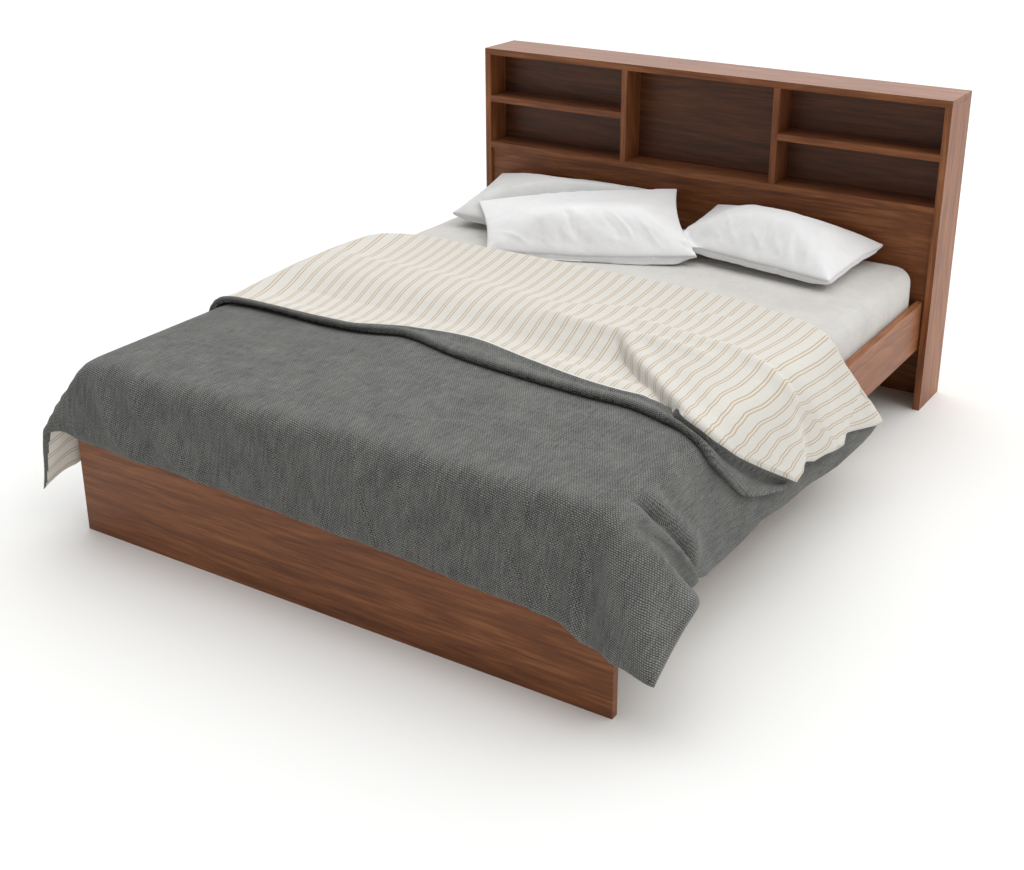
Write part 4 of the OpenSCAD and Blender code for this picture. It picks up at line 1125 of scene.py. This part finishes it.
def fold_rows():
    """Fold at the head end, half a turn from the grey layer up to the striped one."""
    a = columns(FOLD, STRIPED_OVERHANG)
    base = read_field(drape_field, a, FOLD)
    up = read_field(normal_field, a, FOLD)
    forward = read_field(along_y, a, FOLD)
    rise = np.maximum(back_relief(a, FOLD), 0)
    radius = ((DUVET_T / 2 + LAYER_GAP + rise + BACK_T / 2) / 2)[:, None]
    centre = DUVET_T / 2 + radius
    rim = np.maximum(round_edge(to_rim(a), 24.0), THIN_RIM)
    turns = strips(10) + 2
    for k in range(1, turns):
        turn = math.pi * k / turns
        out = up * (centre - radius * math.cos(turn))
        out = out + forward * (np.minimum(radius, 14) * 1.25 * math.sin(turn))
        t = (DUVET_T + (BACK_T - DUVET_T) * k / turns) * 0.98
        yield base + out, t * rim, a, FOLD + 26 * k / turns, "fold"


def roll_shape(a, y, part, hem_wave, flap_edge):
    """Height and thickness of the roll, which runs down from the hem to where it rests."""
    wide = smooth_step(30, 80, HEM - CONTACT) * (1 - flap_edge)
    dent = np.sin(math.pi * np.clip(part / 0.62, 0, 1)) ** 1.5
    hollow = wide * (7 + 3 * bell(a, -60, 120)) * dent
    bead = 3 + 6 * smooth_step(0.42, 0.78, part)
    sunk = 12 * flap_edge * (1 - smooth_step(0.3, 0.64, part))
    flat = smooth_step(0.0, 0.55, part) * wide + smooth_step(0.55, 1.0, part) * (1 - wide)
    drop_in = flap_edge * smooth_step(0, 0.15, part)
    wave = hem_wave * (1 - np.maximum(flat, drop_in)) - hollow * 0.75 - sunk / 2
    thin = BACK_T - hollow * 0.35 + bead - sunk
    t = np.maximum(thin * round_edge(np.maximum(y - CONTACT, 0), thin / 2 + 1), 2.0)
    height = REST_Z + np.maximum(wave, -5.5) + (BACK_T + bead) / 2
    return np.maximum(height, REST_Z + 0.3 + t / 2), t


def back_rows():
    """Turned-back layer, striped side up, then its white edge and its grey roll."""
    along = [("stripe", FOLD + (HEM - FOLD) * s, 0) for s in np.linspace(0, 1, strips(98) + 1)]
    along.append(("tape", HEM - TAPE, 0))
    for k in range(1, strips(19) + 1):
        part = 1 - (1 - k / strips(19)) ** 1.4
        along.append(("roll", HEM - TAPE + (CONTACT - HEM + TAPE) * part, part))
    lift_at_hem = 13 - 5 * smooth_step(-300, -150, BASE_A) + smooth_step(100, 300, BASE_A)
    bottom = lift_at_hem * (1 - smooth_step(580, 660, BASE_A)) - 5
    flap_edge = smooth_step(692, 716, BASE_A)
    hem_wave = bottom * (1 - flap_edge) + 22 * flap_edge
    for kind, y, part in along:
        a = columns(y, STRIPED_OVERHANG)
        off = pleat_offset(a, y)
        in_pleat = smooth_step(370, 440, a) * (1 - smooth_step(615, 690, a))
        gather = 0.5 * off * bell(off, 0, 26) * in_pleat
        y = y - gather * PLEAT_SLANT * smooth_step(4, 30, y - HEM)
        rim = np.maximum(round_edge(to_rim(a), 16.0), THIN_RIM)
        if kind == "roll":
            height, t = roll_shape(a, y, part, hem_wave, flap_edge)
        else:
            wave = hem_wave - 0.5
            if kind == "stripe":
                from_hem = np.maximum(y - HEM, 0)
                bead = 4 * bell(from_hem, 36, 26)
                bead = bead * smooth_step(230, 330, a) * (1 - smooth_step(520, 600, a))
                pressed = bell(from_hem, 0, 62) * (1 - np.maximum(flap_edge, flap_share(a, y)))
                wave = back_relief(a, y) * (1 - pressed) + bottom * pressed + bead
            height = np.maximum(REST_Z + wave + BACK_T / 2, REST_Z + 4.5)
            t = np.minimum(BACK_T, 2 * (height - REST_Z))
        place = read_field(drape_field, a, y) + read_field(normal_field, a, y) * height[:, None]
        yield place, t * rim, a, y, kind


def cloth_map(inner, cloth_a, cloth_y, kinds):
    """Where each point lies on the cloth, in metres, as the twill and the stripes need it."""
    us, vs = cloth_a.copy(), cloth_y.copy()
    rows = len(kinds)

    # Stripes run at a true distance along the cloth, measured from the middle column.
    steps = np.linalg.norm(np.diff(inner[..., [0, 2]], axis=1), axis=-1) * 1000
    measured = np.concatenate([np.zeros((rows, 1)), np.cumsum(steps, axis=1)], axis=1)
    measured = measured - measured[:, [int(np.searchsorted(BASE_A, 0))]]
    slant = line_at(STRIPE_SLANT, BASE_A)
    slant = slant * (1 - 0.6 * smooth_step(0, 300, BASE_A - EDGE))
    for i in range(kinds.index("stripe"), rows):
        us[i] = measured[i] - slant * (FOLD - vs[i])

    # The roll's weave follows the length of its own surface.
    lengths = np.linalg.norm(np.diff(inner, axis=0), axis=-1) * 1000
    for i in range(kinds.index("tape"), rows):
        vs[i] = vs[i - 1] - lengths[i - 1]
    return us / 1000, vs / 1000


def make_duvet():
    """One closed cloth through all rows: grey twill outside, striped linen inside, a white edge."""
    rows = [*grey_rows(), *fold_rows(), *back_rows()]
    middles, thick, cloth_a = (np.array([row[i] for row in rows]) for i in range(3))
    cloth_y = np.array([np.broadcast_to(row[3], COLS) for row in rows])
    kinds = [row[4] for row in rows]
    normals = np.cross(np.gradient(middles, axis=1), np.gradient(middles, axis=0))
    normals = normals / np.maximum(np.linalg.norm(normals, axis=-1, keepdims=True), 1e-9)
    outer = spots(middles + normals * thick[..., None] / 2)
    inner = spots(middles - normals * thick[..., None] / 2)
    us, vs = cloth_map(inner, cloth_a, cloth_y, kinds)

    bm, place, side = two_faced_grid(len(rows), COLS)
    for vert in bm.verts:
        i, j = divmod(vert[place], COLS)
        vert.co = outer[i, j] if vert[side] == 0 else inner[i, j]
    uv = bm.loops.layers.uv.new("cloth")
    first_roll, first_tape = kinds.index("roll"), kinds.index("tape")
    flap_col = int(np.searchsorted(BASE_A, TAPE_END))
    grey, stripe, tape = 0, 1, 2
    for face in bm.faces:
        here = [divmod(vert[place], COLS) for vert in face.verts]
        low_row, low_col = (min(facts) for facts in zip(*here))
        sides = {vert[side] for vert in face.verts}
        face.material_index = grey
        if sides != {0}:
            if low_row < first_tape - 1:
                # The grey cloth wraps round the foot hem, more so towards the left corner.
                wrapped = low_row < strips(2) + 0.4 * low_col and low_col < len(LEFT_SHARES)
                face.material_index = stripe if sides == {1} and not wrapped else grey
            elif low_row < first_roll - 1:
                face.material_index = tape if low_col < flap_col else stripe
        for loop in face.loops:
            i, j = divmod(loop.vert[place], COLS)
            loop[uv].uv = (us[i, j], vs[i, j])
    bmesh.ops.recalc_face_normals(bm, faces=bm.faces[:])
    finishes = [grey_twill(), striped_linen(), white_tape]
    made = piece("duvet_cloth", bm, finishes, "duvet", "duvet")


make_mattress()
make_sheet()
blown = blown_pillow()
# The back left pillow gets the greyer cotton: painted shade
left_top = make_pillow("back_left", blown, [], pillow_painted_shade, 11)
right_top = make_pillow("right", blown, [], pillow_cotton, 23)
make_pillow("front", blown, [left_top, right_top], pillow_cotton, 37)
make_duvet()


# Floor, world and lamps
def make_floor():
    """A pale floor that turns white further away."""
    bm = bmesh.new()
    bmesh.ops.create_grid(bm, x_segments=1, y_segments=1, size=40)
    finish = Finish("studio_floor", 0.9, Specular_IOR_Level=0.05)
    place = finish.place()
    away = finish.node("ShaderNodeVectorMath", {0: place}, operation="LENGTH").outputs["Value"]
    paleness = finish.math("MULTIPLY_ADD", finish.noise(place, 1.5, 2), 0.4, away)
    tones = [(0.3, srgb(250, 250, 248)), (0.7, srgb(255, 255, 255))]
    finish.join("Base Color", finish.ramp(finish.math("DIVIDE", paleness, 6), tones))
    piece("studio_floor", bm, [finish.material], None, smooth=False)


make_floor()

# The world is white where the camera and mirrors see it, and lights the bed at a lower level.
world = bpy.data.worlds.new("studio")
world.use_nodes = True
scene.world = world
nodes, links = world.node_tree.nodes, world.node_tree.links
background = nodes["Background"]
background.inputs["Color"].default_value = (1, 1, 1, 1)
path = nodes.new("ShaderNodeLightPath")
seen = nodes.new("ShaderNodeMath")
seen.operation = "MAXIMUM"
links.new(path.outputs["Is Camera Ray"], seen.inputs[0])
links.new(path.outputs["Is Glossy Ray"], seen.inputs[1])
level = nodes.new("ShaderNodeMapRange")
level.inputs["To Min"].default_value = 0.21
level.inputs["To Max"].default_value = 1.0
links.new(seen.outputs[0], level.inputs["Value"])
links.new(level.outputs[0], background.inputs["Strength"])


def sky_lamp(name, towards_lamp, width, level):
    """A soft, far lamp. Its level is the light it gives a surface that faces it."""
    data = bpy.data.lights.new(name, "SUN")
    data.angle = math.radians(width)
    data.energy = level * math.pi
    made = bpy.data.objects.new(name, data)
    made.location = Vector(towards_lamp) * 5
    made.rotation_euler = Vector(towards_lamp).to_track_quat("Z", "Y").to_euler()
    scene.collection.objects.link(made)


sky_lamp("overhead_softbox", towards_lamp=(-0.12, 0.42, 1), width=100, level=0.86)
sky_lamp("right_softbox", towards_lamp=(1, 0.1, 0.75), width=60, level=0.26)

scene.view_settings.view_transform = "Standard"
